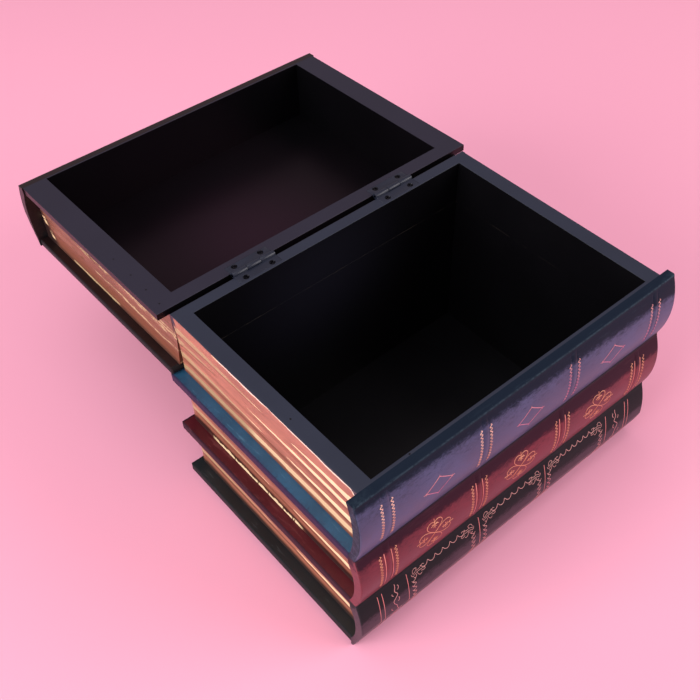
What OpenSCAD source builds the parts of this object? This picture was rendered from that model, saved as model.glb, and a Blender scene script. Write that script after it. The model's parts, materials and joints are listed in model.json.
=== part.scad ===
// Keepsake box in the form of four stacked books: three make the base, the fourth is the lid.
// X runs along the spines, the spines face -Y, the hinges are at +Y. The box is drawn open.

/* [Books] */
// Length of the pages, along the spines
page_len = 290; // [250:1:330]
// Depth of the pages, from the spine to the fore edge
page_depth = 202.5; // [180:0.5:225]
// Height of the black book's pages
black_pages_h = 47.5; // [38:0.5:56]
// Height of the red book's pages
red_pages_h = 49.5; // [40:0.5:60]
// Height of the blue book's pages
blue_pages_h = 61; // [52:0.5:72]
// Thickness of the covers of the base
cover_t = 8; // [6:0.5:10]
// How far every cover stands out past the pages at head and tail
end_square = 7.5; // [5:0.5:10]
// How far the covers of the base stand out past the fore edge
fore_square = 5.5; // [4:0.5:8]
// Radius of the back corners of the base's covers
corner_r = 3; // [1:0.5:5]

/* [Pages] */
// Thickness of the page strips at their top edge
page_t = 3.5; // [3:0.5:5]
// How far the foot of a page strip stands in from its top edge
page_foot = 2.4; // [0.5:0.1:2.5]
// Depth of the hollow along a page strip
page_cove = 1; // [0.4:0.1:1.2]
// Share of that foot and hollow on the strips along the fore edge
fore_share = 0.2; // [0:0.1:1]

/* [Walls] */
// Thickness of the left and right walls
side_t = 10; // [8:0.5:13]
// Thickness of the base's back wall
back_t = 6.5; // [5.5:0.5:9]
// Thickness of the lid's back wall
lid_back_t = 12.9; // [10:0.1:15]
// Thickness of the lining board behind the base's spines
lining_t = 2.5; // [2:0.5:4]
// Thickness of the lining board behind the lid's spine
lid_lining_t = 1; // [0.8:0.2:3]
// Height of the upper board of the base's back wall
band_h = 40; // [25:1:50]

/* [Spines] */
// Thickness of a spine at its top and bottom edge
spine_edge = 7; // [5:0.5:9]
// How far a spine swells out at its middle
spine_bulge = 6.5; // [4:0.5:9]
// Thickness of a spine at its middle
spine_t = 8; // [7:0.5:10]
// How far the spines stand out past the covers at head and tail
spine_proud = 1; // [0.5:0.5:3]
// How far the outer edge of the lowest and the highest spine stands out from the pages
curl_edge = 2.2; // [1:0.2:5]
// Height over which those two spines curl in to their covers
curl_h = 30; // [12:1:32]
// How far that curl swells out
curl_rise = 0.7; // [0.4:0.1:1.5]
// Width of the spine's flat foot above and below its hollow
spine_foot = 1; // [0.5:0.5:3]
// Gap between a page strip's end and the hollow of the spine
spine_seat = 0.2; // [0.1:0.1:0.5]

/* [Lid] */
// Thickness of the lid's cover
lid_cover_t = 6; // [5:0.5:8]
// Thickness of the rim board round the lid's opening
rim_t = 6; // [5:0.5:8]
// How far the lid's pages stand out past its rim board at the hinges
lid_proud = 3; // [2:0.2:3.4]
// Gap between the rims of base and lid when the box is closed
rim_gap = 0.4; // [0.3:0.1:1]
// Gap between the opened lid and the top of the blue cover
lid_rest_gap = 0.5; // [0.4:0.1:2]
// Gap between the opened lid's cover and the fore edge of the base
lid_stop_gap = 0.3; // [0.2:0.1:1]
// Angle at which the opened lid comes to rest
open_angle = 181.5; // [180:0.5:183]

/* [Hinges] */
// Distance between the middles of the two hinges
hinge_spacing = 139; // [90:1:190]
// Length of a hinge
hinge_len = 38; // [32:1:50]
// Width of a hinge leaf, from the pin's axis
leaf_w = 10.6; // [9.6:0.2:12]
// Thickness of a hinge leaf
leaf_t = 1.2; // [1:0.1:1.6]
// Outer radius of the hinge knuckles
knuckle_r = 2.4; // [2.1:0.1:3]
// Radius of the hinge pin
pin_r = 1; // [0.8:0.1:1.3]
// Running clearance between the pin and the lid's knuckle
pin_clearance = 0.05; // [0.02:0.01:0.1]
// How far the pin stands out at each end
pin_proud = 0.4; // [0.2:0.1:1]
// Gap between neighbouring knuckles
knuckle_gap = 0.3; // [0.2:0.1:0.6]
// Gap between the knuckles and the wood
knuckle_room = 0.3; // [0.2:0.1:0.8]
// Gap round a leaf in its mortise
mortise_gap = 0.1; // [0.05:0.05:0.3]

/* [Screws] */
// Distance between the two screws of a leaf
screw_pitch = 24; // [18:1:26]
// Distance from a leaf's long edge to its screws
screw_edge = 3.1; // [3:0.1:4]
// Diameter of a screw's head
screw_head_d = 5; // [4:0.2:5.8]
// Diameter of a screw's shank
screw_d = 2.4; // [1.8:0.2:3]
// Height of a screw's countersunk head
screw_head_h = 1.6; // [1.2:0.1:2.2]
// Width of a screw's slot
slot_w = 0.8; // [0.5:0.1:1.2]
// Depth of a screw's slot
slot_d = 0.6; // [0.3:0.1:0.9]
// Wood left under a screw's tip
screw_stop = 0.6; // [0.4:0.1:1.5]
// Gap round a screw in its holes
screw_gap = 0.05; // [0.02:0.01:0.15]

/* [Hidden] */
$fn = 96;
arc_fn = 720;
page_steps = 12;
eps = 1;

front = page_depth / 2;
half_len = page_len / 2;
cover_x = half_len + end_square;
core_x = half_len - page_t;
room_x = core_x - side_t;

red_cover_z = cover_t + black_pages_h;
red_pages_z = red_cover_z + cover_t;
blue_cover_z = red_pages_z + red_pages_h;
blue_pages_z = blue_cover_z + cover_t;
base_h = blue_pages_z + blue_pages_h;

core_back = front - page_t;
room_back = core_back - back_t;
room_front = front - lining_t;
cover_back = front + fore_square;

spine_out = spine_edge + spine_bulge;
spine_x = cover_x + spine_proud;
hollow_sag = spine_out - spine_t;

hinge_off = knuckle_r + knuckle_room;
axis_y = front + hinge_off;
axis_z = base_h + rim_gap / 2;

lid_z = base_h + rim_gap;
lid_h = blue_pages_h - lid_rest_gap;
lid_core_z = lid_z + rim_t;
lid_core_h = lid_h - rim_t - lid_cover_t;
lid_back = front + lid_proud;
lid_core_back = lid_back - page_t;
lid_room_back = lid_core_back - lid_back_t;
lid_room_front = front - lid_lining_t;

// The opened cover's back edge ends its gap short of the base's fore edge
over_angle = open_angle - 180;
lid_top = lid_z + lid_h - axis_z;
lid_cover_back = axis_y + (hinge_off - lid_stop_gap - lid_top * sin(over_angle)) / cos(over_angle);

third = hinge_len / 3;
screw_y = leaf_w - screw_edge;
screw_len = rim_t - screw_stop;

// Radius of an arc from its chord and its height
function arc_r(chord, rise) = (chord * chord / 4 + rise * rise) / (2 * rise);

// A box from its two corners
module block(low, high) {
    translate(low) cube(high - low);
}

// A shape drawn in Y and Z, drawn out to both sides along X
module along_x(half) {
    translate([-half, 0, 0]) rotate([90, 0, 90]) linear_extrude(2 * half) children();
}

// A shape drawn in X and Z, drawn out along Y
module along_y(low, high) {
    translate([0, high, 0]) rotate([90, 0, 0]) linear_extrude(high - low) children();
}

// The right-hand piece, or its mirror image at the left
module on_side(side) {
    if (side < 0) mirror([1, 0, 0]) children();
    else children();
}

// Turns what is drawn on the closed lid over to the open place
module opened() {
    translate([0, axis_y, axis_z]) rotate([-open_angle, 0, 0])
        translate([0, -axis_y, -axis_z]) children();
}

// Space in front of the pages that a round swells out into, in Y and Z
module swell(z, h, depth, rise) {
    r = arc_r(h, rise);
    intersection() {
        translate([-front - depth, z]) square([depth, h]);
        translate([r - depth - front, z + h / 2]) circle(r, $fn = arc_fn);
    }
}

// How far a spine stands out at a height above its bottom edge
function swell_at(up, h) = let (r = arc_r(h, spine_bulge)) spine_out - r + sqrt(r * r - pow(up - h / 2, 2));

// Rounded back whose bottom edge curls in to the cover, in Y and Z
module curled_swell(h) {
    low = [-front - curl_edge, 0];
    side = [-front - swell_at(curl_h, h), curl_h] - low;
    r = arc_r(norm(side), curl_rise);
    centre = low + side / 2 + [side[1], -side[0]] / norm(side) * (r - curl_rise);
    intersection() {
        swell(0, h, spine_out, spine_bulge);
        union() {
            translate(centre) circle(r, $fn = arc_fn);
            translate([-front - spine_out, curl_h]) square([spine_out, h - curl_h]);
        }
    }
}

// Back of a book, with neither edge curled in, or its bottom one (curl -1), or its top one (curl 1)
module round_back(z, h, curl) {
    if (curl == 0) swell(z, h, spine_out, spine_bulge);
    if (curl < 0) translate([0, z]) curled_swell(h);
    if (curl > 0) translate([0, z + h]) mirror([0, 1]) curled_swell(h);
}

// Rounded back of one book, hollow behind its pages
module spine(z, h, pages_z, pages_h, curl) {
    along_x(spine_x) difference() {
        round_back(z, h, curl);
        swell(pages_z + spine_foot, pages_h - 2 * spine_foot, hollow_sag, hollow_sag);
    }
}

// Points up a page face that stands at u, with the hollow worked along it
function cove(u, z, h, share) = [
    for (i = [0:page_steps]) let (t = i / page_steps)
        [u - share * (page_foot * (1 - t) + page_cove * 4 * t * (1 - t)), z + h * t]
];

// Points down the rounded front of the pages, which fits the hollow of the spine
function page_front(z, h) = let (
    rise = hollow_sag - spine_seat,
    low = z + spine_foot + spine_seat,
    span = h - 2 * (spine_foot + spine_seat),
    r = arc_r(span, rise)
) [
    for (i = [page_steps:-1:0]) let (up = span * (i / page_steps - 0.5))
        [r - rise - front - sqrt(r * r - up * up), low + span / 2 + up]
];

// Pages of one book as a full block
module page_block(z, h, back) {
    ends = cove(half_len, z, h, 1);
    intersection() {
        along_x(half_len)
            polygon(concat(cove(back, z, h, fore_share), [[-front, z + h]], page_front(z, h), [[-front, z]]));
        along_y(-front - spine_out, back)
            polygon(concat(ends, [for (i = [page_steps:-1:0]) [-ends[i][0], ends[i][1]]]));
    }
}

// Strip at one end of the pages, from the spine to the back strip
module pages_side(side, z, h, back) {
    intersection() {
        page_block(z, h, back);
        on_side(side) block([core_x, -front - spine_out, z], [half_len, back - page_t, z + h]);
    }
}

// Strip along the fore edge of the pages
module pages_back(z, h, back) {
    intersection() {
        page_block(z, h, back);
        block([-half_len, back - page_t, z], [half_len, back, z + h]);
    }
}

// Board with its two back corners rounded
module cover_board(y, z, t, back, r) {
    translate([0, 0, z]) linear_extrude(t) {
        translate([-cover_x, y]) square([2 * cover_x, back - y - r]);
        translate([r - cover_x, y]) square([2 * (cover_x - r), back - y]);
        for (side = [-1, 1]) translate([side * (cover_x - r), back - r]) circle(r);
    }
}

// Cover strip at one end of the base
module cover_side(side, z) {
    on_side(side) block([core_x, -front, z], [cover_x, core_back, z + cover_t]);
}

// Cover strip at the back of the base
module cover_back_strip(z) {
    cover_board(core_back, z, cover_t, cover_back, corner_r);
}

// Countersunk screw that points along +Z, or the hole that it takes
module screw_body(gap) {
    cylinder(r1 = screw_head_d / 2 + gap, r2 = screw_d / 2 + gap, h = screw_head_h + gap);
    cylinder(r = screw_d / 2 + gap, h = screw_len + gap);
}

module screw() {
    difference() {
        screw_body(0);
        for (turn = [20, 110]) rotate([0, 0, turn])
            block([-screw_head_d / 2, -slot_w / 2, -eps], [screw_head_d / 2, slot_w / 2, slot_d]);
    }
}

// Places the lid's half of a hinge, or its mirror image on the base,
// with the axis of the pin along X through the origin
module at_hinge(side, half) {
    translate([side * hinge_spacing / 2, axis_y, axis_z]) mirror([0, 0, half < 0 ? 1 : 0]) children();
}

module at_screws() {
    for (x = [-1, 1]) translate([x * screw_pitch / 2, -screw_y, rim_gap / 2]) children();
}

// A length of knuckle with the strap that joins it to its leaf
module knuckle(x, length) {
    translate([x, 0, 0]) rotate([0, 90, 0]) cylinder(r = knuckle_r, h = length);
    block([x, -hinge_off, rim_gap / 2], [x + length, 0, rim_gap / 2 + leaf_t]);
}

// Leaf whose knuckles are its children, with a bore of radius r
module leaf(r) {
    difference() {
        union() {
            block([-hinge_len / 2, -leaf_w, rim_gap / 2], [hinge_len / 2, -hinge_off, rim_gap / 2 + leaf_t]);
            children();
        }
        translate([-hinge_len, 0, 0]) rotate([0, 90, 0]) cylinder(r = r, h = 2 * hinge_len);
        at_screws() screw_body(screw_gap);
    }
}

// Leaf on the base, with the two outer knuckles that grip the pin
module base_leaf(side) {
    at_hinge(side, -1) leaf(pin_r) {
        knuckle(-hinge_len / 2, third);
        knuckle(hinge_len / 2 - third, third);
    }
}

// Leaf on the lid, with the middle knuckle that runs on the pin
module lid_leaf(side) {
    at_hinge(side, 1) leaf(pin_r + pin_clearance) knuckle(knuckle_gap - third / 2, third - 2 * knuckle_gap);
}

module hinge_pin(side) {
    at_hinge(side, 1) translate([-hinge_len / 2 - pin_proud, 0, 0]) rotate([0, 90, 0])
        cylinder(r = pin_r, h = hinge_len + 2 * pin_proud);
}

module screws(half) {
    for (side = [-1, 1]) at_hinge(side, half) at_screws() screw();
}

// What the hinges cut out of the wood that they are let into
module hinge_cuts(half) {
    for (side = [-1, 1]) at_hinge(side, half) {
        block([-hinge_len / 2 - mortise_gap, -leaf_w - mortise_gap, rim_gap / 2 - eps],
            [hinge_len / 2 + mortise_gap, eps - hinge_off, rim_gap / 2 + leaf_t]);
        at_screws() screw_body(screw_gap);
    }
}

// Base
module bottom_cover() { color("#282c30") cover_board(-front, 0, cover_t, cover_back, corner_r); }
module front_lining() { color("#1a1c24") block([-core_x, -front, cover_t], [core_x, -room_front, base_h]); }
module side_wall(side) {
    color("#1a1c24") on_side(side) block([room_x, -room_front, cover_t], [core_x, room_back, base_h]);
}
module left_wall() { side_wall(-1); }
module right_wall() { side_wall(1); }
module back_wall_lower() {
    color("#1a1c24") block([-core_x, room_back, cover_t], [core_x, core_back, base_h - band_h]);
}
module back_wall_upper() {
    color("#1a1c24") difference() {
        block([-core_x, room_back, base_h - band_h], [core_x, core_back, base_h]);
        hinge_cuts(-1);
    }
}
module black_pages_left() { color("#c98a66") pages_side(-1, cover_t, black_pages_h, front); }
module black_pages_right() { color("#c98a66") pages_side(1, cover_t, black_pages_h, front); }
module black_pages_back() { color("#c98a66") pages_back(cover_t, black_pages_h, front); }
module red_cover_left() { color("#5a2630") cover_side(-1, red_cover_z); }
module red_cover_right() { color("#5a2630") cover_side(1, red_cover_z); }
module red_cover_back() { color("#5a2630") cover_back_strip(red_cover_z); }
module red_pages_left() { color("#d29672") pages_side(-1, red_pages_z, red_pages_h, front); }
module red_pages_right() { color("#d29672") pages_side(1, red_pages_z, red_pages_h, front); }
module red_pages_back() { color("#d29672") pages_back(red_pages_z, red_pages_h, front); }
module blue_cover_left() { color("#31526a") cover_side(-1, blue_cover_z); }
module blue_cover_right() { color("#31526a") cover_side(1, blue_cover_z); }
module blue_cover_back() { color("#31526a") cover_back_strip(blue_cover_z); }
module blue_pages_left() { color("#e0a884") pages_side(-1, blue_pages_z, blue_pages_h, front); }
module blue_pages_right() { color("#e0a884") pages_side(1, blue_pages_z, blue_pages_h, front); }
module blue_pages_back() {
    color("#e0a884") difference() {
        pages_back(blue_pages_z, blue_pages_h, front);
        hinge_cuts(-1);
    }
}
module black_spine() { color("#372832") spine(0, red_pages_z, cover_t, black_pages_h, -1); }
module red_spine() {
    color("#8c3648") spine(red_pages_z, blue_pages_z - red_pages_z, red_pages_z, red_pages_h, 0);
}
module blue_spine() {
    color("#4c4a66") spine(blue_pages_z, blue_pages_h, blue_pages_z, blue_pages_h, 0);
}
module left_hinge_base_leaf() { color("#202228") base_leaf(-1); }
module right_hinge_base_leaf() { color("#202228") base_leaf(1); }
module left_hinge_pin() { color("#16171b") hinge_pin(-1); }
module right_hinge_pin() { color("#16171b") hinge_pin(1); }
module base_screws() { color("#30333b") screws(-1); }

// Lid
module lid_rim_side(side) {
    color("#353140") opened() on_side(side)
        block([room_x, -front, lid_z], [cover_x, lid_room_back, lid_z + rim_t]);
}
module lid_rim_left() { lid_rim_side(-1); }
module lid_rim_right() { lid_rim_side(1); }
module lid_rim_back() {
    color("#353140") opened() difference() {
        block([-cover_x, lid_room_back, lid_z], [cover_x, front, lid_z + rim_t]);
        hinge_cuts(1);
    }
}
module lid_side_wall(side) {
    color("#1a161c") opened() on_side(side)
        block([room_x, -lid_room_front, lid_core_z], [core_x, lid_room_back, lid_core_z + lid_core_h]);
}
module lid_left_wall() { lid_side_wall(-1); }
module lid_right_wall() { lid_side_wall(1); }
module lid_back_wall() {
    color("#1a161c") opened()
        block([-core_x, lid_room_back, lid_core_z], [core_x, lid_core_back, lid_core_z + lid_core_h]);
}
module lid_lining() {
    color("#1a161c") opened() {
        block([-core_x, -front, lid_core_z], [core_x, -lid_room_front, lid_core_z + lid_core_h]);
        block([-room_x, -front, lid_z], [room_x, -lid_room_front, lid_core_z]);
    }
}
module lid_pages_left() { color("#c98a66") opened() pages_side(-1, lid_core_z, lid_core_h, lid_back); }
module lid_pages_right() { color("#c98a66") opened() pages_side(1, lid_core_z, lid_core_h, lid_back); }
module lid_pages_back() { color("#c98a66") opened() pages_back(lid_core_z, lid_core_h, lid_back); }
module lid_cover() {
    color("#2a1a1c") opened() cover_board(-front, lid_core_z + lid_core_h, lid_cover_t, lid_cover_back, corner_r);
}
module lid_spine() { color("#33242a") opened() spine(lid_z, lid_h, lid_core_z, lid_core_h, 1); }
module left_hinge_lid_leaf() { color("#202228") opened() lid_leaf(-1); }
module right_hinge_lid_leaf() { color("#202228") opened() lid_leaf(1); }
module lid_screws() { color("#30333b") opened() screws(1); }

bottom_cover();
front_lining();
left_wall();
right_wall();
back_wall_lower();
back_wall_upper();
black_pages_left();
black_pages_right();
black_pages_back();
red_cover_left();
red_cover_right();
red_cover_back();
red_pages_left();
red_pages_right();
red_pages_back();
blue_cover_left();
blue_cover_right();
blue_cover_back();
blue_pages_left();
blue_pages_right();
blue_pages_back();
black_spine();
red_spine();
blue_spine();
left_hinge_base_leaf();
right_hinge_base_leaf();
left_hinge_pin();
right_hinge_pin();
base_screws();
lid_rim_left();
lid_rim_right();
lid_rim_back();
lid_left_wall();
lid_right_wall();
lid_back_wall();
lid_lining();
lid_pages_left();
lid_pages_right();
lid_pages_back();
lid_cover();
lid_spine();
left_hinge_lid_leaf();
right_hinge_lid_leaf();
lid_screws();
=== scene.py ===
"""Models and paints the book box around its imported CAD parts."""

import json
from math import atan2, cos, hypot, radians, sin, sqrt, tau

import bmesh
import bpy
import numpy as np
from mathutils import Matrix, Vector

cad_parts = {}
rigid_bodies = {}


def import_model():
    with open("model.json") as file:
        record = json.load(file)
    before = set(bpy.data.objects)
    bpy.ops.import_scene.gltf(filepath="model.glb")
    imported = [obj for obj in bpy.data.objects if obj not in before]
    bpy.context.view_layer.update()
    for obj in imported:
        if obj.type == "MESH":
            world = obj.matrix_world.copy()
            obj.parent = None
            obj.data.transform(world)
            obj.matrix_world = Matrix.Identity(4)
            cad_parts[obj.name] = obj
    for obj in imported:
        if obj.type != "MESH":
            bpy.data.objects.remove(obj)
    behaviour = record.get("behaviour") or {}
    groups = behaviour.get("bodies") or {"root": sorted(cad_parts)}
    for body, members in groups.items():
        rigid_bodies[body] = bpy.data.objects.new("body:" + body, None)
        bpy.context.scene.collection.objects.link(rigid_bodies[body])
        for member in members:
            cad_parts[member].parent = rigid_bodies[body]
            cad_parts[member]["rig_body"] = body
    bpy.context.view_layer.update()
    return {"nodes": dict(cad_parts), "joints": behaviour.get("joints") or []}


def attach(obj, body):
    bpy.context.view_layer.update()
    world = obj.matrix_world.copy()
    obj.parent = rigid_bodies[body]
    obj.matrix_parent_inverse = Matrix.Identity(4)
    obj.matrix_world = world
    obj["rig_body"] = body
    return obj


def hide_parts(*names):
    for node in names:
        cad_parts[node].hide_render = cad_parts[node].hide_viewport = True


bl_info = {
    "name": "Book Box",
    "version": (1, 0, 0),
    "blender": (4, 5, 0),
    "location": "View3D > Sidebar > Book Box",
    "description": "Models and paints a keepsake box in the form of four stacked books",
    "category": "Object",
}

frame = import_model()

MM = 0.001

# The lid is modelled closed and then turned over to where the CAD model has it
hinge = frame["joints"][0]
hinge_axis = Vector(hinge["pos_m"])
turn_over = Matrix.Rotation(-radians(hinge["range_deg"][1]), 4, "X")
OPENED = Matrix.Translation(hinge_axis) @ turn_over @ Matrix.Translation(-hinge_axis)
CLOSED = OPENED.inverted()


def upright(node):
    """Lowest and highest corner of a node, in millimetres, with the lid closed."""
    piece = frame["nodes"][node]
    turn = CLOSED if piece["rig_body"] == "lid" else Matrix.Identity(4)
    places = np.array([turn @ v.co for v in piece.data.vertices]) / MM
    return places.min(0), places.max(0)


# Levels and edges that the pieces share, in millimetres, read off the CAD model
HALF_LEN, PAGES_BACK, BASE_H = upright("blue_pages_back")[1]
low, high = upright("front_lining")
CORE_X, FRONT, LINING_BACK = high[0], -low[1], high[1]
low, high = upright("left_wall")
ROOM_X, ROOM_BACK, FLOOR = -high[0], high[1], low[2]
CORE_BACK, BAND_Z = upright("back_wall_lower")[1][1:]
COVER_X, COVER_BACK = upright("bottom_cover")[1][:2]
SPINE_X, SPINE_OUT = upright("blue_spine")[1][0], -upright("blue_spine")[0][1]
LID_Z, LID_RIM_TOP = upright("lid_rim_back")[0][2], upright("lid_rim_back")[1][2]
LID_ROOM_BACK, LID_CORE_TOP = upright("lid_left_wall")[1][1:]
LID_BACK, LID_LINING_BACK, LID_CORE_BACK, LID_COVER_BACK = (
    upright(f"lid_{piece}")[1][1] for piece in ("pages_back", "lining", "back_wall", "cover")
)

# A spine's flat edge, its swell beyond that, its hollow behind and the foot above and below the hollow
SPINE_EDGE, SPINE_HOLLOW, SPINE_FOOT = 7.0, 5.5, 1.0
SPINE_BULGE = SPINE_OUT - FRONT - SPINE_EDGE
# A curled edge of a spine: where it ends over the lining, how high it reaches and how far it swells
CURL_EDGE, CURL_H, CURL_RISE = 2.2, 30.0, 0.7
# The page strips' thickness, the slope and the hollow of their face, and the fore edge's share of those
PAGE_T, PAGE_FOOT, PAGE_COVE, FORE_SHARE = HALF_LEN - CORE_X, 2.4, 1.0, 0.2
# Room between a spine's hollow and the front of the pages
PAGE_PLAY = 0.2
CORNER_R = 3.0
# The leather lies this far inside the CAD surface, so that ribs and tooling end on it
LEATHER_SINK = 0.42
# Two places closer than this count as one
NEAR = 0.01


def arc_radius(chord, rise):
    """Radius of an arc that rises so far over its chord."""
    return (chord**2 / 4 + rise**2) / (2 * rise)


class Book:
    """Heights of one book and the round of its spine, in millimetres.

    The spine's bottom edge (curl -1) or its top edge (curl 1) may curl in to the cover.
    """

    def __init__(self, name, body, curl=0):
        self.name, self.body, self.curl = name, body, curl
        low, high = upright(f"{name}_spine")
        self.spine_z, self.spine_h = low[2], high[2] - low[2]
        self.spine_top = self.spine_z + self.spine_h
        low, high = upright(f"{name}_pages_left")
        self.pages_z, self.pages_h = low[2], high[2] - low[2]
        self.pages_top = self.pages_z + self.pages_h
        self.pages_back = LID_BACK if name == "lid" else PAGES_BACK
        self.radius = arc_radius(self.spine_h, SPINE_BULGE)
        self.centre_y = self.radius - SPINE_OUT
        self.centre_z = self.spine_z + self.spine_h / 2
        low = np.array((-FRONT - CURL_EDGE, 0.0))
        side = np.array((self.round_y(self.spine_z + CURL_H), CURL_H)) - low
        chord = hypot(*side)
        aside = np.array((side[1], -side[0])) / chord
        self.curl_radius = arc_radius(chord, CURL_RISE)
        self.curl_centre = low + side / 2 + aside * (self.curl_radius - CURL_RISE)

    def round_y(self, z):
        up = z - self.centre_z
        return self.centre_y - sqrt(max(self.radius**2 - up**2, 0))

    def outer_y(self, z):
        """How far back the spine's outer face stands at a height."""
        up = z - self.spine_z if self.curl < 0 else self.spine_top - z
        if not self.curl or up >= CURL_H:
            return self.round_y(z)
        return self.curl_centre[0] - sqrt(self.curl_radius**2 - (up - self.curl_centre[1]) ** 2)

    def outward(self, z):
        slope = (self.outer_y(z + 0.05) - self.outer_y(z - 0.05)) / 0.1
        return Vector((0, -1, slope)).normalized()

    def from_ends(self, z):
        """How far a height stands from the nearer end of the spine."""
        return min(z - self.spine_z, self.spine_top - z)

    def on_spine(self, x, z, rise):
        """Point that stands out by rise from the leather, at height z on the spine."""
        return (Vector((x, self.outer_y(z), z)) + (rise - LEATHER_SINK) * self.outward(z)) * MM


BOOKS = [Book("black", "base", -1), Book("red", "base"), Book("blue", "base"), Book("lid", "lid", 1)]
BOOK = {book.name: book for book in BOOKS}


# Colours and sizes that a user may change


def colour(name, text, srgb):
    """Colour property from sRGB values between 0 and 255."""
    linear = [(c / 255 / 12.92) if c <= 10 else ((c / 255 + 0.055) / 1.055) ** 2.4 for c in srgb]
    return bpy.props.FloatVectorProperty(
        name=name, description=text, subtype="COLOR", size=4, min=0, max=1, default=(*linear, 1)
    )


def length(name, text, value, least, most):
    """Length property, given in millimetres."""
    return bpy.props.FloatProperty(
        name=name, description=text, subtype="DISTANCE", unit="LENGTH", precision=5,
        default=value * MM, min=least * MM, max=most * MM,
    )


class BookBoxSizes(bpy.types.PropertyGroup):
    leather_round: length("Leather rounding", "Radius of the rounded leather edges", 1.3, 0.5, 2.5)
    wood_round: length("Wood rounding", "Radius of the eased edges of the painted wood", 0.5, 0.2, 1.5)
    rib_height: length("Rib height", "How far the ribs stand up from the leather of a spine", 0.4, 0.1, 0.42)
    rib_width: length("Rib width", "Width of a rib between its two grooves", 4.8, 2, 7)
    foil_width: length("Foil width", "Width of a tooled line", 0.56, 0.3, 1.5)
    carving: length("Carving depth", "Depth of the carved lines in the page strips", 0.7, 0.1, 1.2)


class BookBoxColours(bpy.types.PropertyGroup):
    blue: colour("Blue leather", "Leather of the blue book", (62, 74, 106))
    red: colour("Red leather", "Leather of the red book", (104, 27, 39))
    black: colour("Black leather", "Leather of the black book", (40, 30, 42))
    brown: colour("Brown leather", "Leather of the lid's book", (26, 11, 13))
    paint: colour("Rim paint", "Satin paint of the rims", (35, 40, 55))
    room: colour("Room paint", "Glossy black paint of the inside", (9, 8, 11))
    copper: colour("Copper paint", "Ground colour of the page edges", (167, 111, 90))
    # The pale gold also stands for painted highlight on the raised strokes, and the brown glaze for painted
    # shade in the grooves
    cream: colour("Gold paint", "Pale gold brushed on the ridges of the page edges", (253, 226, 178))
    umber: colour("Brown glaze", "Dark glaze in the grooves of the page edges", (122, 74, 54))
    foil: colour("Tooling foil", "Foil of the lines and ornaments on the spines", (240, 148, 122))
    aged: colour("Aged gold", "Gold brushed dry over the far half of the page edges", (176, 152, 112))
    steel: colour("Blackened steel", "Steel of the hinges and screws", (46, 48, 56))
    floor: colour("Floor", "Floor and backdrop", (250, 174, 199))


def sizes():
    return bpy.context.scene.book_box_sizes


def colours():
    return bpy.context.scene.book_box_colours


# Materials


class Finish:
    """A material made node by node around one Principled shader."""

    def __init__(self, name, **values):
        self.material = bpy.data.materials.new(name)
        self.material.use_nodes = True
        self.tree = self.material.node_tree
        self.shader = self.tree.nodes["Principled BSDF"]
        self.places = self.node("ShaderNodeTexCoord").outputs["Object"]
        self.set(**values)

    def node(self, kind, inputs=(), **settings):
        made = self.tree.nodes.new(kind)
        for name, value in settings.items():
            setattr(made, name, value)
        for socket, value in dict(inputs).items():
            self.feed(made.inputs[socket], value)
        return made

    def feed(self, socket, value):
        """Links a socket to another one, or gives it a value."""
        if isinstance(value, bpy.types.NodeSocket):
            self.tree.links.new(value, socket)
        elif socket.type == "RGBA" and len(value) == 3:
            socket.default_value = (*value, 1)
        else:
            socket.default_value = value

    def noise(self, scale, detail, roughness, stretch=(1, 1, 1), twist=0):
        """Noise from 0 to 1 whose patches are about 1000 / scale millimetres wide."""
        drawn = self.node("ShaderNodeMapping", {"Vector": self.places, "Scale": stretch}).outputs["Vector"]
        inputs = {"Vector": drawn, "Scale": scale, "Detail": detail, "Roughness": roughness}
        return self.node("ShaderNodeTexNoise", {**inputs, "Distortion": twist}).outputs["Fac"]

    def cells(self, scale):
        return self.node("ShaderNodeTexVoronoi", {"Vector": self.places, "Scale": scale}).outputs["Distance"]

    def math(self, operation, a, b):
        return self.node("ShaderNodeMath", {0: a, 1: b}, operation=operation).outputs[0]

    def times(self, value, factor, more=None):
        """A value times a factor, and something more if that is given."""
        made = self.math("MULTIPLY", value, factor)
        return made if more is None else self.math("ADD", made, more)

    def span(self, value, low, high, to_low=0, to_high=1):
        """Spreads low..high smoothly over to_low..to_high."""
        inputs = {"Value": value, "From Min": low, "From Max": high, "To Min": to_low, "To Max": to_high}
        return self.node("ShaderNodeMapRange", inputs, interpolation_type="SMOOTHSTEP").outputs["Result"]

    def blend(self, share, first, second):
        """Mixes two colours, which are the sockets 6 and 7 of a mix of colours."""
        inputs = {0: share, 6: first, 7: second}
        return self.node("ShaderNodeMix", inputs, data_type="RGBA", clamp_factor=True).outputs[2]

    def shades(self, share, colour, low, high):
        return self.blend(share, shade(colour, low), shade(colour, high))

    def over(self, tone, colour, mask, share=None):
        """Lays a share of a colour over a tone where a mask is 1."""
        return self.blend(mask if share is None else self.times(mask, share), tone, colour)

    def painted(self, name):
        """A number painted on the piece's points."""
        return self.node("ShaderNodeAttribute", attribute_name=name, attribute_type="GEOMETRY").outputs["Fac"]

    def near(self, spot, reach):
        """1 at a spot in the frame, given in millimetres, and 0 beyond a distance from it."""
        spot = [value * MM for value in spot]
        made = self.node("ShaderNodeVectorMath", {0: self.places, 1: spot}, operation="DISTANCE")
        return self.span(made.outputs["Value"], 0, reach * MM, 1, 0)

    def bumps(self, *layers):
        """Normal roughened in layers, each with a height, a strength and a depth in millimetres."""
        inputs = {}
        for height, strength, depth in layers:
            inputs.update(Height=height, Strength=strength, Distance=depth * MM)
            inputs["Normal"] = self.node("ShaderNodeBump", inputs).outputs["Normal"]
        return inputs["Normal"]

    def set(self, **sockets):
        for name, value in sockets.items():
            self.feed(self.shader.inputs[name.replace("_", " ")], value)

    def done(self, tone, gloss, *layers, **more):
        """The material, with its colour, its roughness and the layers of its bumps."""
        self.set(Base_Color=tone, Roughness=gloss, Normal=self.bumps(*layers), **more)
        return self.material


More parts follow.
